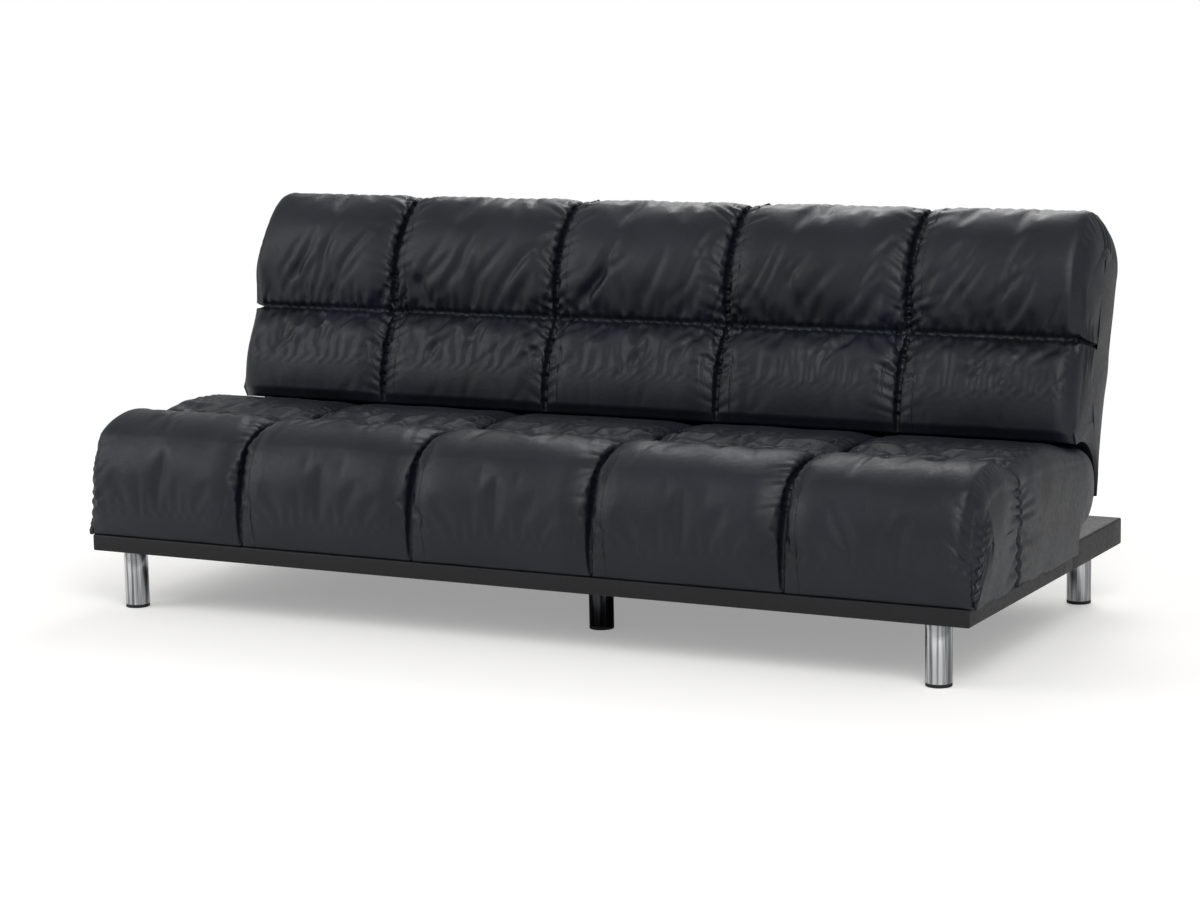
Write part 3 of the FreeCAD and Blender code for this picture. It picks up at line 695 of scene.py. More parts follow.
def swell(cover: Cover, settings: ClothSettings) -> None:
    """Blow a cover out with the Cloth simulation, held where it isn't free.

    Args:
        cover: the cover, changed in place.
        settings: pressure, slack and how far a point may move.
    """
    piece, vertex_of = grid_object("swelling", cover.points)
    holding = piece.vertex_groups.new(name="held")
    held = np.zeros(len(piece.data.vertices))
    np.maximum.at(held, vertex_of, np.round(1 - cover.free.reshape(-1), 1))
    for level in np.unique(held[held > 0]):
        holding.add(np.nonzero(held == level)[0].tolist(), float(level), "REPLACE")
    cloth = piece.modifiers.new("cloth", "CLOTH")
    cloth.settings.quality = 5
    cloth.settings.mass = 0.3
    cloth.settings.tension_stiffness = settings.stiffness
    cloth.settings.compression_stiffness = settings.stiffness
    cloth.settings.shear_stiffness = settings.stiffness / 2
    cloth.settings.bending_stiffness = settings.bending
    cloth.settings.use_pressure = True
    cloth.settings.uniform_pressure_force = settings.pressure
    cloth.settings.shrink_min = settings.slack
    cloth.settings.shrink_max = settings.slack
    cloth.settings.vertex_group_mass = "held"
    cloth.settings.pin_stiffness = 50
    cloth.settings.effector_weights.gravity = 0
    cloth.collision_settings.use_collision = False
    cloth.point_cache.frame_start = 1
    cloth.point_cache.frame_end = settings.steps
    scene = bpy.context.scene
    for step in range(1, settings.steps + 1):
        scene.frame_set(step)
        bpy.context.view_layer.update()
    swollen = piece.evaluated_get(bpy.context.evaluated_depsgraph_get())
    places = np.empty(len(piece.data.vertices) * 3)
    swollen.data.vertices.foreach_get("co", places)
    scene.frame_set(1)
    mesh = piece.data
    bpy.data.objects.remove(piece)
    bpy.data.meshes.remove(mesh)
    settled = places.reshape(-1, 3)[vertex_of].reshape(cover.points.shape)
    moved = settled / MM - cover.points
    far = np.linalg.norm(moved, axis=2, keepdims=True)
    LOG.info("swelling moved points up to %.1f mm", far.max())
    near = settings.cap_mm * np.tanh(far / settings.cap_mm)
    cover.points = cover.points + moved * near / np.maximum(far, 1e-9)


def soft_waves(across: np.ndarray, round_way: np.ndarray, length_mm: float,
               seed: int) -> np.ndarray:
    """Smooth uneven ground over a cover, between about -1 and 1.

    Args:
        across: unrolled X of each row.
        round_way: unrolled distance of each point.
        length_mm: the usual distance from one rise to the next.
        seed: which ground to draw.

    Returns:
        A height for each grid point.
    """
    draw = np.random.default_rng(seed)
    total = np.zeros((len(across), len(round_way)))
    for _ in range(10):
        turn, phase = draw.uniform(0, 2 * math.pi, 2)
        wave = 2 * math.pi / (length_mm * draw.uniform(0.7, 1.5))
        total += np.sin(wave * (across[:, None] * math.cos(turn)
                                + round_way[None] * math.sin(turn)) + phase)
    return total / 5


@dataclass
class QuiltedCushion:
    """A cushion of sewn columns and two rows, swollen against its seams."""

    name: str = "cushion"
    body: str = "base"
    node: str = "seat_cushion"
    half_length: float = 910.0
    section: Section = field(default_factory=lambda: SEAT_SECTION)
    seams: tuple[float, ...] = (-SEAM_OUTER, -SEAM_INNER, SEAM_INNER, SEAM_OUTER)
    seam_depth: float = 24.0
    seam_width: float = 62.0
    seam_power: float = 1.7
    groove_depth: float = 9.0
    groove_width: float = 9.0
    groove_power: float = 1.8
    ground_height: float = 1.6
    ground_length: float = 120.0
    end_round: float = 42.0
    end_inset: float = 46.0
    end_rings: int = 11
    end_depth: float = 95.0
    end_bulge: float = 5.0
    step: float = 11.0
    seam_step: float = 5.0
    margin: float = 5.0
    seed: int = 3
    cloth: ClothSettings = field(default_factory=ClothSettings)

    def outline(self, inset: float, drop: float) -> np.ndarray:
        """The side view's points at one place along the cushion."""
        raise NotImplementedError

    def spine(self, outline: np.ndarray) -> np.ndarray:
        """Where each point of an end face shrinks to."""
        raise NotImplementedError

    def to_world(self, rows: np.ndarray, places: np.ndarray) -> np.ndarray:
        """Stand section points at their rows along X."""
        raise NotImplementedError

    def quilted(self) -> np.ndarray:
        """How much of the quilting each point round the section takes."""
        raise NotImplementedError

    def loose(self) -> np.ndarray:
        """How freely each point round the section may swell."""
        raise NotImplementedError

    def end_loose(self) -> np.ndarray:
        """How freely an end face creases, by the point that its ring starts from."""
        raise NotImplementedError

    def row_seam(self) -> int:
        """The point round the section where the two rows meet."""
        raise NotImplementedError

    def folds(self, cover: Cover) -> list[Fold]:
        """The creases and ridges sewn and sat into the cover."""
        raise NotImplementedError

    def stations(self) -> list[float]:
        """Places of the rows along X, close together at seams and ends.

        Returns:
            Each row's X, in rising order.
        """
        turns = np.linspace(0, math.pi / 2, 9)
        edges = self.half_length - self.end_round * (1 - np.cos(turns))
        places = set(np.round(np.concatenate([edges, -edges]), 2))
        marks = [-self.half_length + self.end_round, *self.seams, self.half_length - self.end_round]
        near = 34.0
        for first, last in zip(marks, marks[1:]):
            low = first + (near if first in self.seams else 0)
            high = last - (near if last in self.seams else 0)
            places |= set(np.round(np.linspace(low, high, round((high - low) / self.step) + 1), 2))
        for seam in self.seams:
            places |= set(np.round(seam + np.arange(-near, near + 0.1, self.seam_step / 1.47), 2))
        return self.with_slit_rows(sorted(float(x) for x in places))

    def with_slit_rows(self, places: list[float]) -> list[float]:
        """Put rows at a slit's walls; a cushion without slits keeps its rows."""
        return places

    def open_slits(self, cover: Cover) -> np.ndarray:
        """The finished grid's points; a cushion without slits changes nothing."""
        return cover.points

    def make_cover(self) -> Cover:
        """Draw the cover's grid before it is swollen.

        Returns:
            The cover, a little smaller than the finished cushion.
        """
        quilt, loose = self.quilted(), self.loose()
        flat = self.outline(0.0, 0.0)
        way = np.concatenate([[0], np.cumsum(np.linalg.norm(np.diff(flat, axis=0), axis=1))])
        xs, places, free = [], [], []
        for x in self.stations():
            end = float(rounded_step(self.half_length - abs(x), self.end_round))
            gap = min(abs(x - seam) for seam in self.seams)
            inset = self.seam_depth * float(rounded_step(gap, self.seam_width, self.seam_power))
            plain = self.outline(self.end_inset * end, self.end_inset * end)
            drawn = self.outline(self.end_inset * end + inset, self.end_inset * end)
            places.append(plain + quilt[:, None] * (drawn - plain))
            xs.append(x)
            from_end = self.half_length - abs(x)
            sewn = np.clip(gap / 6.0, 0, 1) * np.clip(from_end / 30 + 0.25, 0, 1)
            free.append(np.full(len(way), sewn) * loose)
        ends = [self.end_face(places[0], -1), self.end_face(places[-1], 1)]
        points = np.concatenate([ends[0][::-1],
                                 self.to_world(np.array(xs), np.array(places)), ends[1]])
        depth = np.arange(1, self.end_rings + 1) / self.end_rings * self.end_depth
        across = np.concatenate([-self.half_length - depth[::-1], xs, self.half_length + depth])
        cap = np.sin(np.linspace(0, math.pi, self.end_rings + 1))[1:, None] * loose[None] * 0.5
        cap[-1] = 0
        spread = np.concatenate([cap[::-1], np.array(free), cap])
        cover = Cover(points, across + 1e-6 * np.arange(len(across)), way, spread)
        seam = self.row_seam()
        cover.free[:, [seam - 1, seam + 1]] *= 0.5
        cover.free[:, seam] = 0
        return cover

    def end_face(self, edge: np.ndarray, side: int) -> np.ndarray:
        """Rings that close an end, from its edge in to the spine.

        Args:
            edge: the section at the end.
            side: -1 for the left end and 1 for the right.

        Returns:
            The rings' points, from the outermost in.
        """
        spine = self.spine(edge)
        shares = np.arange(1, self.end_rings + 1) / self.end_rings
        rings = [edge + (spine - edge) * share for share in shares]
        out = side * (self.half_length + self.end_bulge * (1 - (1 - shares) ** 2.5))
        return self.to_world(out, np.array(rings))

    def build(self, material: bpy.types.Material, slot: str) -> bpy.types.Object:
        """Make the cushion: swell it, refine it, then sew and crease it.

        Args:
            material: its leatherette.
            slot: the record's material slot; not used.

        Returns:
            The finished cushion.
        """
        cover = self.make_cover()
        swell(cover, self.cloth)
        cover = cover.refined()
        quilt = np.repeat(self.quilted(), 2)
        gap = np.min([np.abs(cover.across - seam) for seam in self.seams], axis=0)
        seam_way = cover.round_way[2 * self.row_seam()]
        from_row = np.abs(cover.round_way - seam_way)
        columns, rows = [rounded_step(away, self.groove_width, self.groove_power)
                         for away in (gap, from_row)]
        groove = np.maximum(columns[:, None] * quilt[None], rows[None])
        ground = soft_waves(cover.across, cover.round_way, self.ground_length, self.seed)
        on_end = np.clip((np.abs(cover.across) - self.half_length + 14) / 14, 0, 1)[:, None]
        soft = np.maximum(np.repeat(self.loose(), 2)[None],
                          on_end * np.repeat(self.end_loose(), 2)[None])
        creases = cover.fold_heights(self.folds(cover))
        cover.press(soft * (self.ground_height * ground + creases) - self.groove_depth * groove)
        self.relax(cover)
        piece, _ = grid_object(self.name, self.open_slits(cover))
        piece.data.shade_smooth()
        piece.data.materials.append(material)
        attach(piece, self.body)
        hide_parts(self.node)
        LOG.info("%s: %d faces", piece.name, len(piece.data.polygons))
        return piece

    def relax(self, cover: Cover) -> None:
        """Soften single sharp points, most where folds cross."""
        around_point = (np.roll(cover.points, 1, 1) + np.roll(cover.points, -1, 1)) / 2
        change = (around_point - cover.points) * 0.25 * (cover.free[..., None] > 0.3)
        cover.points = cover.points + change


def nearest_on(spine: Sequence[Point], outline: np.ndarray) -> np.ndarray:
    """The nearest place on a polyline to each point.

    Args:
        spine: the polyline's corners.
        outline: the points.

    Returns:
        A place on the polyline for each point.
    """
    dense = path_points(spine, 240)
    gap = np.linalg.norm(outline[:, None] - dense[None], axis=2)
    return dense[np.argmin(gap, axis=1)]


def shares(section: Section, levels: dict[str, tuple[float, float]]) -> np.ndarray:
    """A level for each point round a section.

    Args:
        section: the cushion's section.
        levels: the level at each stretch's start and end; others have none.

    Returns:
        The levels, from 0 to 1.
    """
    parts = [np.linspace(*levels.get(name, (0.0, 0.0)), number + 1)[:-1]
             for name, number in section.stretches]
    return np.concatenate(parts)


def seam_gathers(draw: np.random.Generator, seam: float, low: float, high: float,
                 upright: bool, size: tuple[float, float], reach: tuple[float, float],
                 pitch: tuple[float, float], lean: float = 0.0) -> list[Fold]:
    """Short puckers along both sides of a seam, each a valley from the stitches out.

    Args:
        draw: the source of uneven values.
        seam: the seam's place, across or round the section.
        low: where the gathers start along the seam.
        high: where they stop.
        upright: whether the seam runs round the section instead of along X.
        size: least and greatest depth.
        reach: least and greatest length.
        pitch: least and greatest distance from one to the next.
        lean: how far a pucker's end runs on along the seam, as a share of its length.

    Returns:
        The folds.
    """
    folds = []
    for side in (-1, 1):
        place = low + draw.uniform(0, pitch[1])
        while place < high:
            length = draw.uniform(*reach)
            aside = length * (lean + draw.uniform(-0.25, 0.25))
            start, end = (seam, place), (seam + side * length, place + aside)
            if not upright:
                start, end = start[::-1], end[::-1]
            folds.append(Fold(start, end, draw.uniform(4.0, 7.5), -draw.uniform(*size),
                              Hold.AT_SEAM, draw.uniform(-2.0, 2.0)))
            place += draw.uniform(*pitch)
    return folds


@dataclass
class SeatCushion(QuiltedCushion):
    """The seat: it wraps down to the plinth in front and ends in a round nose."""

    name: str = "seat_cover"
    corner_height: float = 178.0
    side_seam: float = 92.0

    def outline(self, inset: float, drop: float) -> np.ndarray:
        """The seat's side view, drawn a little small for the swelling."""
        return seat_section(inset + self.margin)

    def spine(self, outline: np.ndarray) -> np.ndarray:
        """The seat's end shrinks to a level line half way up it."""
        return nearest_on(((-320.0, 245.0), (-200.0, 250.0), (150.0, 256.0)), outline)

    def to_world(self, rows: np.ndarray, places: np.ndarray) -> np.ndarray:
        """Seat sections are drawn in Y and Z already."""
        along = np.broadcast_to(rows[:, None, None], places.shape[:2] + (1,))
        return np.concatenate([along, places], 2)

    def quilted(self) -> np.ndarray:
        """Quilting runs from the plinth over the top to the nose."""
        return shares(self.section, {"front": (1, 1), "front_top": (1, 1),
                                     "rear_top": (1, 1), "slope": (1, 0.3), "nose": (0.3, 0)})

    def loose(self) -> np.ndarray:
        """Padding swells on the front and the top and is held elsewhere."""
        return shares(self.section, {"front": (0.3, 1.7), "front_top": (1, 1),
                                     "rear_top": (1, 0.5), "slope": (0.4, 0)}).clip(0, 1)

    def end_loose(self) -> np.ndarray:
        """The ends crease all over but beside the nose."""
        return shares(self.section, {"front": (1, 1), "front_top": (1, 1), "rear_top": (1, 0.6),
                                     "slope": (0.5, 0), "floor": (0.4, 1.0)})

    def row_seam(self) -> int:
        """The rows meet on top, a little behind the front."""
        return self.section.span("rear_top")[0]

    def with_slit_rows(self, places: list[float]) -> list[float]:
        """Put a row at each wall of the hinge arms' slits.

        Args:
            places: the rows without slits.

        Returns:
            The rows with the walls' own.
        """
        low, high = ARM_SLIT
        kept = [x for x in places if not low - 4 < abs(x) < high + 4]
        return sorted(kept + [sign * wall for sign in (-1, 1) for wall in ARM_SLIT])

    def open_slits(self, cover: Cover) -> np.ndarray:
        """Open a narrow slit for each hinge arm in the nose, down to its pin.

        Args:
            cover: the finished cover.

        Returns:
            The grid's points, with two rows at each wall of a slit.
        """
        first, last = self.section.span("nose")
        inside = slice(2 * first, 2 * last)
        rows = []
        for points in cover.points:
            x = abs(float(points[2 * last - 1, 0]))
            within = ARM_SLIT[0] - 0.5 < x < ARM_SLIT[1] + 0.5
            if not within:
                rows.append(points)
                continue
            top, low = points[2 * first, 1:], points[2 * last, 1:]
            front, crest, heel = HINGE_Y - 12, HINGE_Z + 48, HINGE_Y - 74
            corners = [tuple(top), (front, float(top[1])), (front, crest), (heel, crest),
                       (heel, HINGE_Z - 20), (HINGE_Y - 44, HINGE_Z - 46),
                       (HINGE_Y - 4, HINGE_Z - 50), tuple(low)]
            open_row = points.copy()
            open_row[inside, 1:] = path_points(corners, 2 * (last - first))
            at_wall = min(abs(x - wall) for wall in ARM_SLIT) < 0.6
            nearer_middle = abs(x - ARM_SLIT[0]) < 0.6
            rising = float(points[2 * last - 1, 0]) > 0
            if not at_wall:
                rows.append(open_row)
            elif nearer_middle == rising:
                rows += [points, open_row]
            else:
                rows += [open_row, points]
        return np.array(rows)

    def folds(self, cover: Cover) -> list[Fold]:
        """Gathers along every seam, creases by the row seam and feathered corners.

        Args:
            cover: the refined cover.

        Returns:
            The folds.
        """
        draw = np.random.default_rng(self.seed)
        way = {name: float(cover.round_way[2 * self.section.span(name)[0]])
               for name, _ in self.section.stretches}
        folds: list[Fold] = []
        ruffled = (-SEAM_OUTER, SEAM_OUTER)
        for seam in self.seams:
            deep = 4.6 if seam in ruffled else 2.4
            folds += seam_gathers(draw, seam, way["front"] + 150, way["front_top"] + 120, True,
                                  (0.5 * deep, deep), (20, 55), (14, 26), -0.5)
            folds += seam_gathers(draw, seam, way["front"] + 8, way["front"] + 60, True,
                                  (1.5, 3.0), (20, 45), (15, 28), 0.6)
            folds += seam_gathers(draw, seam, way["front_top"] + 120, way["slope"], True,
                                  (1.2, 3.2), (20, 55), (16, 32))
        folds += seam_gathers(draw, way["rear_top"], -self.half_length + 20, self.half_length - 20,
                              False, (3.0, 6.5), (40, 110), (17, 34), 0.2)
        folds += self.long_creases(draw, way)
        folds += self.corner_folds(draw, way)
        return folds

    def long_creases(self, draw: np.random.Generator, way: dict[str, float]) -> list[Fold]:
        """Soft creases sat into the top, fanning out by the row seam.

        Args:
            draw: the source of uneven values.
            way: where each stretch starts round the section.

        Returns:
            The folds.
        """
        folds = []
        edges = (-self.half_length, *self.seams, self.half_length)
        for low, high in zip(edges, edges[1:]):
            middle = (low + high) / 2
            for _ in range(7):
                across = draw.uniform(low + 25, high - 25)
                spread = 0.35 * (across - middle)
                start = (across, way["rear_top"] - draw.uniform(10, 60))
                end = (across + spread, way["rear_top"] - draw.uniform(120, 190))
                folds.append(Fold(start, end, draw.uniform(8, 14), -draw.uniform(1.2, 2.8),
                                  Hold.HALF_WAY, draw.uniform(-8, 8)))
                start = (across + draw.uniform(-30, 30), way["rear_top"] + draw.uniform(10, 60))
                end = (start[0] + draw.uniform(-40, 40), way["rear_top"] + draw.uniform(140, 260))
                folds.append(Fold(start, end, draw.uniform(9, 15), -draw.uniform(1.5, 3.2),
                                  Hold.HALF_WAY, draw.uniform(-10, 10)))
        return folds

    def corner_folds(self, draw: np.random.Generator, way: dict[str, float]) -> list[Fold]:
        """Upright seams at the front corners and on the ends, feathered with gathers.

        Args:
            draw: the source of uneven values.
            way: where each stretch starts round the section.

        Returns:
            The folds.
        """
        folds = []
        corner_top = way["front"] + self.corner_height
        under_seam = way["floor"] + (BASE_JOIN - ROW_SEAM_Y)
        for side in (-1, 1):
            edge = side * (self.half_length - 4)
            folds.append(Fold((edge, way["front"] + 2), (edge, corner_top), 5.5, -9.0, Hold.EVEN))
            for away in (-1, 1):
                place = way["front"] + 10
                while place < corner_top:
                    length = draw.uniform(60, 95) * (1.2 - 0.5 * (place / corner_top))
                    end = (edge + away * side * length * 0.85,
                           place + length * draw.uniform(0.4, 0.7))
                    folds.append(Fold((edge + away * side * 7, place), end, draw.uniform(5.5, 8),
                                      -draw.uniform(4.5, 7.5), Hold.AT_SEAM))
                    place += draw.uniform(19, 26)
            rim, inner = side * self.half_length, side * (self.half_length + self.side_seam)
            for place in (way["rear_top"], under_seam):
                folds.append(Fold((rim - side * 18, place), (inner, place), 6.0, -7.5, Hold.EVEN))
                for away in (-1, 1):
                    reach = 8.0
                    while reach < 90:
                        start = (rim + side * reach, place + away * 2)
                        end = (start[0] + side * draw.uniform(-36, 2),
                               place + away * draw.uniform(55, 100))
                        folds.append(Fold(start, end, draw.uniform(5.5, 8.5),
                                          -draw.uniform(4.5, 7.5), Hold.AT_SEAM))
                        reach += draw.uniform(17, 25)
        return folds


@dataclass
class BackCushion(QuiltedCushion):
    """The back: it leans on the hinge axis, hollow below round the seat's nose."""

    name: str = "back_cover"
    body: str = "back"
    node: str = "back_cushion"
    half_length: float = 900.0
    section: Section = field(default_factory=lambda: BACK_SECTION)
    seed: int = 11

    def outline(self, inset: float, drop: float) -> np.ndarray:
        """The back's side view, drawn a little small for the swelling."""
        return back_section(inset + self.margin, drop)

    def spine(self, outline: np.ndarray) -> np.ndarray:
        """The back's end shrinks to a line that follows the hollow and then rises."""
        return nearest_on(((88.7, 2.0), (83.8, 40.0), (66.0, 80.0), (22.0, 130.0),
                           (0.0, 200.0), (0.0, 425.0)), outline)

    def to_world(self, rows: np.ndarray, places: np.ndarray) -> np.ndarray:
        """Lean the back's sections and stand them on the hinge axis.

        Args:
            rows: each row's X.
            places: section points, rearward and up the back.

        Returns:
            The points in X, Y and Z.
        """
        lean = math.radians(LEAN)
        along = np.broadcast_to(rows[:, None], places.shape[:2])
        rearward, up = places[..., 0], places[..., 1]
        return np.stack([along, HINGE_Y + rearward * math.cos(lean) + up * math.sin(lean),
                         HINGE_Z - rearward * math.sin(lean) + up * math.cos(lean)], 2)

    def quilted(self) -> np.ndarray:
        """Quilting runs from the rear edge over the top and down the front."""
        return shares(self.section, {"rear_round": (0.0, 0.5), "crown": (0.5, 1), "upper": (1, 1),
                                     "lower": (1, 1), "chin": (1, 0.5), "lip": (0.5, 0)})

    def loose(self) -> np.ndarray:
        """Padding swells on the top and the front; the rear stays flat."""
        return shares(self.section, {"rear_round": (0, 0.5), "crown": (0.5, 1), "upper": (1, 1),
                                     "lower": (1.4, 0.3), "chin": (0.25, 0.1)}).clip(0, 1)

    def end_loose(self) -> np.ndarray:
        """The back's ends crease but near the hollow."""
        return shares(self.section, {"rear": (0, 1), "rear_round": (1, 1), "crown": (1, 1),
                                     "upper": (1, 1), "lower": (1, 0.2)})

    def row_seam(self) -> int:
        """The rows meet half way down the front."""
        return self.section.span("lower")[0]

    def folds(self, cover: Cover) -> list[Fold]:
        """Gathers along every seam of the back.

        Args:
            cover: the refined cover.

        Returns:
            The folds.
        """
        draw = np.random.default_rng(self.seed)
        way = {name: float(cover.round_way[2 * self.section.span(name)[0]])
               for name, _ in self.section.stretches}
        folds: list[Fold] = []
        for seam in self.seams:
            folds += seam_gathers(draw, seam, way["crown"] + 20, way["chin"], True,
                                  (2.5, 6.0), (30, 85), (17, 32), -0.5)
        folds += seam_gathers(draw, way["lower"], -self.half_length + 15, self.half_length - 15,
                              False, (3.2, 7.0), (30, 80), (15, 27), 0.3)
        folds += self.drawn_folds(draw, way)
        folds += self.end_seams(draw, way)
        return folds

    def drawn_folds(self, draw: np.random.Generator, way: dict[str, float]) -> list[Fold]:
        """Long slanting folds that the stuffing draws into each square.

        Args:
            draw: the source of uneven values.
            way: where each stretch starts round the section.

        Returns:
            The folds.
        """
        folds = []
        edges = (-self.half_length + 30, *self.seams, self.half_length - 30)
        for low, high in zip(edges, edges[1:]):
            for _ in range(8):
                across = draw.uniform(low + 15, high - 90)
                start = (across, way["lower"] - draw.uniform(15, 60))
                end = (across + draw.uniform(45, 110), start[1] - draw.uniform(90, 150))
                folds.append(Fold(start, end, draw.uniform(9, 15), -draw.uniform(2.6, 5.4),
                                  Hold.HALF_WAY, draw.uniform(-9, 9)))
            for _ in range(7):
                across = draw.uniform(low + 20, high - 60)
                start = (across, way["lower"] + draw.uniform(60, 130))
                end = (across + draw.uniform(30, 80), start[1] - draw.uniform(55, 100))
                folds.append(Fold(start, end, draw.uniform(8, 13), -draw.uniform(2.4, 5.0),
                                  Hold.HALF_WAY, draw.uniform(-8, 8)))
            for _ in range(6):
                across = draw.uniform(low + 10, high - 10)
                start = (across, way["chin"] + 4)
                end = (across + draw.uniform(-20, 45), way["chin"] - draw.uniform(35, 80))
                folds.append(Fold(start, end, draw.uniform(7, 11), -draw.uniform(2.5, 4.5),
                                  Hold.AT_SEAM, draw.uniform(-5, 5)))
        return folds

    def end_seams(self, draw: np.random.Generator, way: dict[str, float]) -> list[Fold]:
        """The row seam carried round onto each end, and a dart at each top corner.

        Args:
            draw: the source of uneven values.
            way: where each stretch starts round the section.

        Returns:
            The folds.
        """
        folds = []
        for side in (-1, 1):
            rim = side * self.half_length
            row, crown = way["lower"], way["crown"] + 45
            folds.append(Fold((rim - side * 12, row), (rim + side * 80, row), 6.0, -8.5, Hold.EVEN))
            for place, reach in ((crown, 46), (crown + 22, 34), (crown - 24, 30)):
                folds.append(Fold((rim + side * 6, place), (rim - side * reach, place + 10), 5.5,
                                  -6.0, Hold.AT_SEAM))
            for away in (-1, 1):
                reach = 6.0
                while reach < 70:
                    start = (rim + side * reach, row + away * 2)
                    end = (start[0] + draw.uniform(-12, 12), row + away * draw.uniform(45, 90))
                    folds.append(Fold(start, end, draw.uniform(5.5, 9), -draw.uniform(3.0, 5.0),
                                      Hold.AT_SEAM))
                    reach += draw.uniform(16, 26)
        return folds


@dataclass
class BaseCover:
    """Leatherette drawn over one part of the base, soft at its edges.

    A box is bevelled, cut into a fine net and drawn in slightly, so that the cloth
    lies in shallow waves between its staples.
    """

    name: str
    node: str
    low: tuple[float, float, float]
    high: tuple[float, float, float]
    edge_round: float = 3.0
    wave: float = 0.35
    seed: int = 5

    def build(self, material: bpy.types.Material, slot: str) -> bpy.types.Object:
        """Model the cover in place of the plain one.

        Args:
            material: its leatherette.
            slot: the record's material slot; not used.

        Returns:
            The finished cover.
        """
        deselect_all()
        middle = [(a + b) / 2 * MM for a, b in zip(self.low, self.high)]
        extent = [(b - a) * MM for a, b in zip(self.low, self.high)]
        bpy.ops.mesh.primitive_cube_add(size=1, location=middle)
        piece = bpy.context.object
        piece.name = piece.data.name = self.name
        piece.scale = extent
        bpy.ops.object.transform_apply(location=True, rotation=True, scale=True)
        bpy.ops.object.mode_set(mode="EDIT")
        bpy.ops.mesh.select_all(action="SELECT")
        bpy.ops.mesh.bevel(offset=self.edge_round * MM, segments=3, affect="EDGES")
        self.cut_across()
        bpy.ops.object.mode_set(mode="OBJECT")
        ground = np.random.default_rng(self.seed).uniform(0, 2 * math.pi, 4)
        for vertex in piece.data.vertices:
            x, y, z = vertex.co / MM
            wave = (math.sin(x / 47 + ground[0]) * math.sin(x / 23 + ground[1])
                    + 0.5 * math.sin(x / 11 + y / 31 + z / 9 + ground[2]))
            toward = Vector((0, 1 if y > middle[1] / MM else -1, 0))
            if abs(y - self.low[1]) < 1 or abs(y - self.high[1]) < 1:
                vertex.co -= toward * MM * self.wave * (0.5 + 0.5 * wave)
        bpy.ops.object.shade_smooth()
        piece.data.materials.append(material)
        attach(piece, "base")
        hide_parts(self.node)
        LOG.info("%s: %d faces", piece.name, len(piece.data.polygons))
        return piece

    def cut_across(self) -> None:
        """Slice the cover, open in edit mode, across each way for the waves."""
        for axis, pitch in ((0, 12.0), (1, 60.0), (2, 10.0)):
            normal = tuple(float(k == axis) for k in range(3))
            place = self.low[axis] + pitch
            while place < self.high[axis] - pitch / 2:
                bpy.ops.mesh.select_all(action="SELECT")
                point = [0.0, 0.0, 0.0]
                point[axis] = place * MM
                bpy.ops.mesh.bisect(plane_co=point, plane_no=normal)
                place += pitch


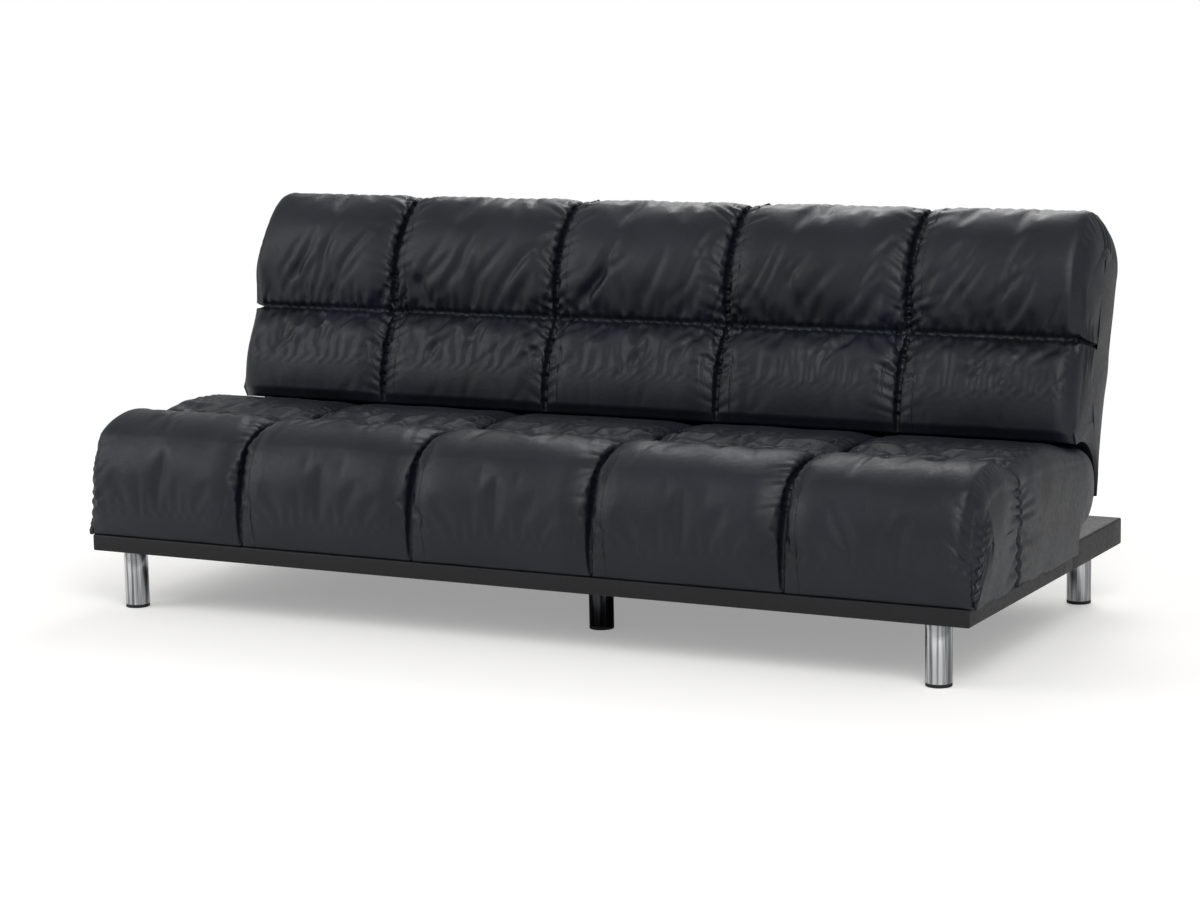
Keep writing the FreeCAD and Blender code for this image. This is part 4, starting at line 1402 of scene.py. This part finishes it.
@dataclass
class Leg:
    """A tube leg on a thin round glide, modelled once and copied to each place."""

    radius: float = 23.0
    wall: float = 1.5
    top: float = 3.0
    glide: float = 6.0
    rim: float = 0.5
    sides: int = 72
    smooth_degrees: float = 35.0
    places: tuple[tuple[str, float, float], ...] = (
        ("front_left", -830.0, -353.5), ("front_right", 830.0, -353.5),
        ("rear_left", -830.0, 373.0), ("rear_right", 830.0, 373.0),
        ("centre", 95.0, -177.5))

    def build(self, chrome: bpy.types.Material, black: bpy.types.Material,
              plastic: bpy.types.Material) -> None:
        """Model every leg and its glide.

        Args:
            chrome: the corner legs' metal.
            black: the middle leg's metal, dark with painted shade and painted highlight lines.
            plastic: the glides' plastic.
        """
        tube = self.model_tube()
        glide = self.model_glide()
        for name, x, y in self.places:
            middle = name == "centre"
            # The middle leg's black chrome carries painted shade and painted highlight lines.
            self.stand(tube, f"leg_tube_{name}", x, y, black if middle else chrome,
                       "leg_centre" if middle else "corner_legs")
            self.stand(glide, f"leg_glide_{name}", x, y, plastic, "leg_glides")
        for mesh in (tube, glide):
            bpy.data.meshes.remove(mesh)

    def model_tube(self) -> bpy.types.Mesh:
        """A hollow tube: a cylinder's lower face is inset and pushed up inside.

        Returns:
            The tube's mesh, about the leg's own axis.
        """
        height = UNDERSIDE - self.glide
        deselect_all()
        bpy.ops.mesh.primitive_cylinder_add(vertices=self.sides, radius=self.radius * MM,
                                            depth=height * MM,
                                            location=(0, 0, (self.glide + height / 2) * MM))
        tube = bpy.context.object
        bpy.ops.object.transform_apply(location=True, rotation=True, scale=True)
        bpy.ops.object.mode_set(mode="EDIT")
        bpy.ops.mesh.select_mode(type="FACE")
        bpy.ops.mesh.select_all(action="DESELECT")
        bpy.ops.object.mode_set(mode="OBJECT")
        for face in tube.data.polygons:
            face.select = face.normal.z < -0.9
        bpy.ops.object.mode_set(mode="EDIT")
        bpy.ops.mesh.inset(thickness=self.wall * MM)
        bpy.ops.mesh.extrude_region_move(
            TRANSFORM_OT_translate={"value": (0, 0, (height - self.top) * MM)})
        return self.finish(tube)

    def model_glide(self) -> bpy.types.Mesh:
        """A low round foot, as wide as the tube.

        Returns:
            The glide's mesh, about the leg's own axis.
        """
        deselect_all()
        bpy.ops.mesh.primitive_cylinder_add(vertices=self.sides, radius=self.radius * MM,
                                            depth=self.glide * MM,
                                            location=(0, 0, self.glide / 2 * MM))
        glide = bpy.context.object
        bpy.ops.object.transform_apply(location=True, rotation=True, scale=True)
        return self.finish(glide)

    def finish(self, piece: bpy.types.Object) -> bpy.types.Mesh:
        """Round a turned piece's rims and take its mesh.

        Args:
            piece: the piece as modelled.

        Returns:
            The finished mesh.
        """
        if piece.mode != "OBJECT":
            bpy.ops.object.mode_set(mode="OBJECT")
        bevel = piece.modifiers.new("rim", "BEVEL")
        bevel.width, bevel.segments, bevel.limit_method = self.rim * MM, 2, "ANGLE"
        bpy.ops.object.modifier_apply(modifier=bevel.name)
        bpy.ops.object.shade_smooth_by_angle(angle=math.radians(self.smooth_degrees))
        mesh = piece.data
        bpy.data.objects.remove(piece)
        return mesh

    def stand(self, model: bpy.types.Mesh, name: str, x: float, y: float,
              material: bpy.types.Material, node: str) -> None:
        """Copy a model to one leg's place.

        Args:
            model: the mesh to copy.
            name: the piece's name.
            x: the leg's place along the sofa.
            y: the leg's place across it.
            material: the piece's finish.
            node: the frame's node that it stands for.
        """
        mesh = model.copy()
        mesh.transform(Matrix.Translation((x * MM, y * MM, 0)))
        piece = bpy.data.objects.new(name, mesh)
        bpy.context.collection.objects.link(piece)
        piece.data.materials.append(material)
        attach(piece, "base")
        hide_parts(node)
        LOG.info("%s at %.0f, %.0f mm", name, x, y)


@dataclass
class LeafSpring:
    """The leaf that presses a pawl to its ratchet, fixed at its stud, modelled in one still shape.
    """

    side: str
    sign: int
    line: tuple[Point, ...] = ((99.2, 290.4), (101.0, 286.0), (106.8, 274.0), (112.0, 262.5),
                               (114.6, 255.5), (116.8, 248.6))
    width: tuple[float, float] = (780.0, 785.0)
    thickness: float = 0.9
    steps: int = 24

    def build(self, material: bpy.types.Material) -> None:
        """Model the leaf: a plane is cut into steps, laid along its line and thickened.

        Args:
            material: the spring steel.
        """
        deselect_all()
        bpy.ops.mesh.primitive_grid_add(x_subdivisions=1, y_subdivisions=self.steps, size=1)
        leaf = bpy.context.object
        leaf.name = leaf.data.name = f"leaf_spring_{self.side}"
        way = path_points(self.line, 200)
        last = len(way) - 1
        for vertex in leaf.data.vertices:
            along = min(max(vertex.co.y + 0.5, 0.0), 1.0)
            y, z = way[int(along * last)]
            x = self.sign * (self.width[0] if vertex.co.x < 0 else self.width[1])
            vertex.co = Vector((x, y, z)) * MM
        solid = leaf.modifiers.new("thickness", "SOLIDIFY")
        solid.thickness, solid.offset = self.thickness * MM, 0.0
        bpy.ops.object.modifier_apply(modifier=solid.name)
        bpy.ops.object.mode_set(mode="EDIT")
        bpy.ops.mesh.select_all(action="SELECT")
        bpy.ops.mesh.normals_make_consistent(inside=False)
        bpy.ops.object.mode_set(mode="OBJECT")
        leaf.data.materials.append(material)
        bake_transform(leaf)
        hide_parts(f"pawl_spring_{self.side}")
        LOG.info("%s modelled", leaf.name)


@dataclass
class Studio:
    """A pale floor, soft light and the photograph's camera.

    Places are in metres, and a lamp has its name, its place, its side and its watts.
    """

    floor_colour: str = "#f1f0ee"
    floor_lift: float = 0.3
    floor_fade: tuple[float, float] = (1.1, 3.4)
    world_light: float = 0.45
    lamps: tuple[tuple[str, tuple[float, float, float], float, float], ...] = (
        ("key", (2.6, -3.2, 3.6), 2.6, 105), ("fill", (-3.8, -2.6, 2.4), 3.0, 55),
        ("rim", (-0.8, 3.4, 3.0), 2.6, 70))
    target: tuple[float, float, float] = (0.0, 0.0085, 0.300)
    place: tuple[float, float, float] = (2.6503, -5.0184, 1.2143)
    roll_degrees: float = -1.077
    lens: float = 90.6

    def build(self) -> None:
        """Add the floor, the lamps, the world and the camera."""
        self.add_floor()
        for lamp in self.lamps:
            self.add_lamp(*lamp)
        self.add_world()
        self.add_camera()
        bpy.context.scene.view_settings.view_transform = "Standard"

    def add_floor(self) -> None:
        """A wide floor that turns white for the camera and keeps the shadow."""
        deselect_all()
        bpy.ops.mesh.primitive_plane_add(size=40, location=(0, 0, -0.0005))
        floor = bpy.context.object
        floor.name = "studio_floor"
        material, tree, surface = new_material("studio floor paint")
        paint = add_node(tree, "ShaderNodeBsdfDiffuse", None,
                         {"Color": to_linear(self.floor_colour)})
        camera_ray = add_node(tree, "ShaderNodeLightPath").outputs["Is Camera Ray"]
        lift = add_node(tree, "ShaderNodeMath", {"operation": "MULTIPLY"},
                        {0: camera_ray, 1: self.floor_lift})
        glow = add_node(tree, "ShaderNodeEmission", None, {"Strength": lift.outputs["Value"]})
        near = add_node(tree, "ShaderNodeAddShader")
        tree.links.new(paint.outputs["BSDF"], near.inputs[0])
        tree.links.new(glow.outputs["Emission"], near.inputs[1])
        place = add_node(tree, "ShaderNodeTexCoord").outputs["Object"]
        away = add_node(tree, "ShaderNodeVectorMath", {"operation": "LENGTH"}, {0: place})
        fade = add_node(tree, "ShaderNodeMapRange", {"interpolation_type": "SMOOTHSTEP"},
                        {"Value": away.outputs["Value"], "From Min": self.floor_fade[0],
                         "From Max": self.floor_fade[1]})
        seen_far = add_node(tree, "ShaderNodeMath", {"operation": "MULTIPLY"},
                            {0: fade.outputs["Result"], 1: camera_ray})
        white = add_node(tree, "ShaderNodeEmission", None, {"Strength": 1.0})
        mixed = add_node(tree, "ShaderNodeMixShader", None, {0: seen_far.outputs["Value"]})
        tree.links.new(near.outputs["Shader"], mixed.inputs[1])
        tree.links.new(white.outputs["Emission"], mixed.inputs[2])
        tree.links.new(mixed.outputs["Shader"], surface)
        floor.data.materials.append(material)

    def add_lamp(self, name: str, place: tuple[float, float, float], size: float,
                 power: float) -> None:
        """Add a square soft lamp that faces the sofa.

        Args:
            name: the lamp's name.
            place: where it hangs, in metres.
            size: the length of its side.
            power: its watts.
        """
        data = bpy.data.lights.new(name, "AREA")
        data.size, data.energy = size, power
        lamp = bpy.data.objects.new(name, data)
        lamp.location = place
        toward = Vector(self.target) - Vector(place)
        lamp.rotation_euler = toward.to_track_quat("-Z", "Y").to_euler()
        bpy.context.collection.objects.link(lamp)

    def add_world(self) -> None:
        """Even light from all round, seen as white by the camera."""
        world = bpy.data.worlds.new("studio")
        bpy.context.scene.world = world
        world.use_nodes = True
        tree = world.node_tree
        tree.nodes.clear()
        output = tree.nodes.new("ShaderNodeOutputWorld")
        path = add_node(tree, "ShaderNodeLightPath")
        seen = add_node(tree, "ShaderNodeMath", {"operation": "MAXIMUM"},
                        {0: path.outputs["Is Camera Ray"], 1: path.outputs["Is Transmission Ray"]})
        level = add_node(tree, "ShaderNodeMapRange", None,
                         {"Value": seen.outputs["Value"], "To Min": self.world_light,
                          "To Max": 1.0})
        light = add_node(tree, "ShaderNodeBackground", None,
                         {"Color": (1.0, 1.0, 1.0, 1.0), "Strength": level.outputs["Result"]})
        tree.links.new(light.outputs["Background"], output.inputs["Surface"])

    def add_camera(self) -> None:
        """Stand the camera where the photograph was taken from."""
        data = bpy.data.cameras.new("camera")
        data.lens, data.sensor_width = self.lens, 36.0
        data.clip_end = 60.0
        camera = bpy.data.objects.new("camera", data)
        bpy.context.collection.objects.link(camera)
        toward = Vector(self.target) - Vector(self.place)
        turn = toward.to_track_quat("-Z", "Y").to_matrix().to_4x4()
        roll = Matrix.Rotation(math.radians(self.roll_degrees), 4, "Z")
        camera.matrix_world = Matrix.Translation(self.place) @ turn @ roll
        bpy.context.scene.camera = camera


def dress(name: str, material: bpy.types.Material) -> None:
    """Give a frame node a material in place of its plain one.

    Args:
        name: the node's name.
        material: the material to show.
    """
    piece = bpy.data.objects[name]
    for slot in piece.material_slots:
        slot.material = material
    if not piece.material_slots:
        piece.data.materials.append(material)


def main() -> None:
    """Load the frame, build every piece around it and light it."""
    logging.basicConfig(level=logging.INFO, format="%(name)s: %(message)s")
    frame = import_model()
    # Embossed plastic on knitted cloth, blue-black and loose: broad soft highlights on folds.
    quilted = Leatherette("quilted leatherette", "#0e1118", "#151b26", 0.42).build()
    # The same cloth drawn tight over board, a little duller and blacker.
    plain = Leatherette("base leatherette", "#09090d", "#0d0d13", 0.50).build()
    # Drawn steel tube, plated: upright painted light and dark reflection bands in a soft mirror.
    chrome = DrawnMetal("satin chrome tube", "#e6e7ea", 0.15, painted_dark_reflection="#7b7d82").build()
    # Dark plating, polished: black, partly painted shade of the dark underside it mirrors, with
    # narrow painted highlight lines.
    black_chrome = DrawnMetal("black chrome tube", "#4a4b50", 0.07, painted_dark_reflection="#0c0c0e").build()
    # Rolled sheet, zinc plated: a greyish dull shine.
    zinc = DrawnMetal("zinc plated steel", "#b9b8ae", 0.34).build()
    # Pressed steel under black lacquer: an even half gloss.
    hinge_steel = DrawnMetal("black lacquered steel", "#18181a", 0.38, 0.0).build()
    # Moulded nylon: matt black, with a fine even texture from its mould.
    plastic = DrawnMetal("moulded nylon", "#141415", 0.55, 0.0, 0.4, (1.0, 1.0, 1.0)).build()
    # Bonded fibre cloth: matt black, faintly flecked.
    dust = Woven("non-woven dust cloth", "#17171a", 1.2).build()
    # Rubber and polyester threads: a matt ribbed band.
    web = Woven("elastic webbing", "#6b665c", 2.0).build()
    # Cut polyurethane foam: pale yellow, open and matt.
    foam = Woven("cut foam", "#d8cfae", 1.6).build()
    # Sawn and dried softwood: long uneven grain, no polish.
    timber = Timber("sawn softwood", "#d2b083", "#a67a4c").build()
    finishes = {"quilted_leatherette": quilted, "base_leatherette": plain, "rear_cloth": plain,
                "dust_cloth": dust, "chrome_tube": chrome, "black_chrome": black_chrome,
                "glide_plastic": plastic, "zinc_steel": zinc, "hinge_steel": hinge_steel,
                "foam": foam, "elastic_webbing": web, "frame_timber": timber}
    for part in frame["record"]["subparts"]:
        if part["node"] in frame["nodes"]:
            dress(part["node"], finishes[part["material_slot"]])
    SeatCushion().build(quilted, "quilted_leatherette")
    BackCushion().build(quilted, "quilted_leatherette")
    BaseCover("plinth_wrap", "plinth_cover", (-BASE_HALF, BASE_FRONT, UNDERSIDE),
              (BASE_HALF, BASE_JOIN + JOIN_LAP, PLINTH_TOP)).build(plain, "base_leatherette")
    BaseCover("beam_wrap", "beam_cover", (-BASE_HALF, BASE_JOIN - JOIN_LAP, UNDERSIDE),
              (BASE_HALF, BASE_REAR, BEAM_TOP), seed=8).build(plain, "base_leatherette")
    Leg().build(chrome, black_chrome, plastic)
    LeafSpring("left", -1).build(zinc)
    LeafSpring("right", 1).build(zinc)
    Studio().build()


if __name__ == "__main__":
    main()
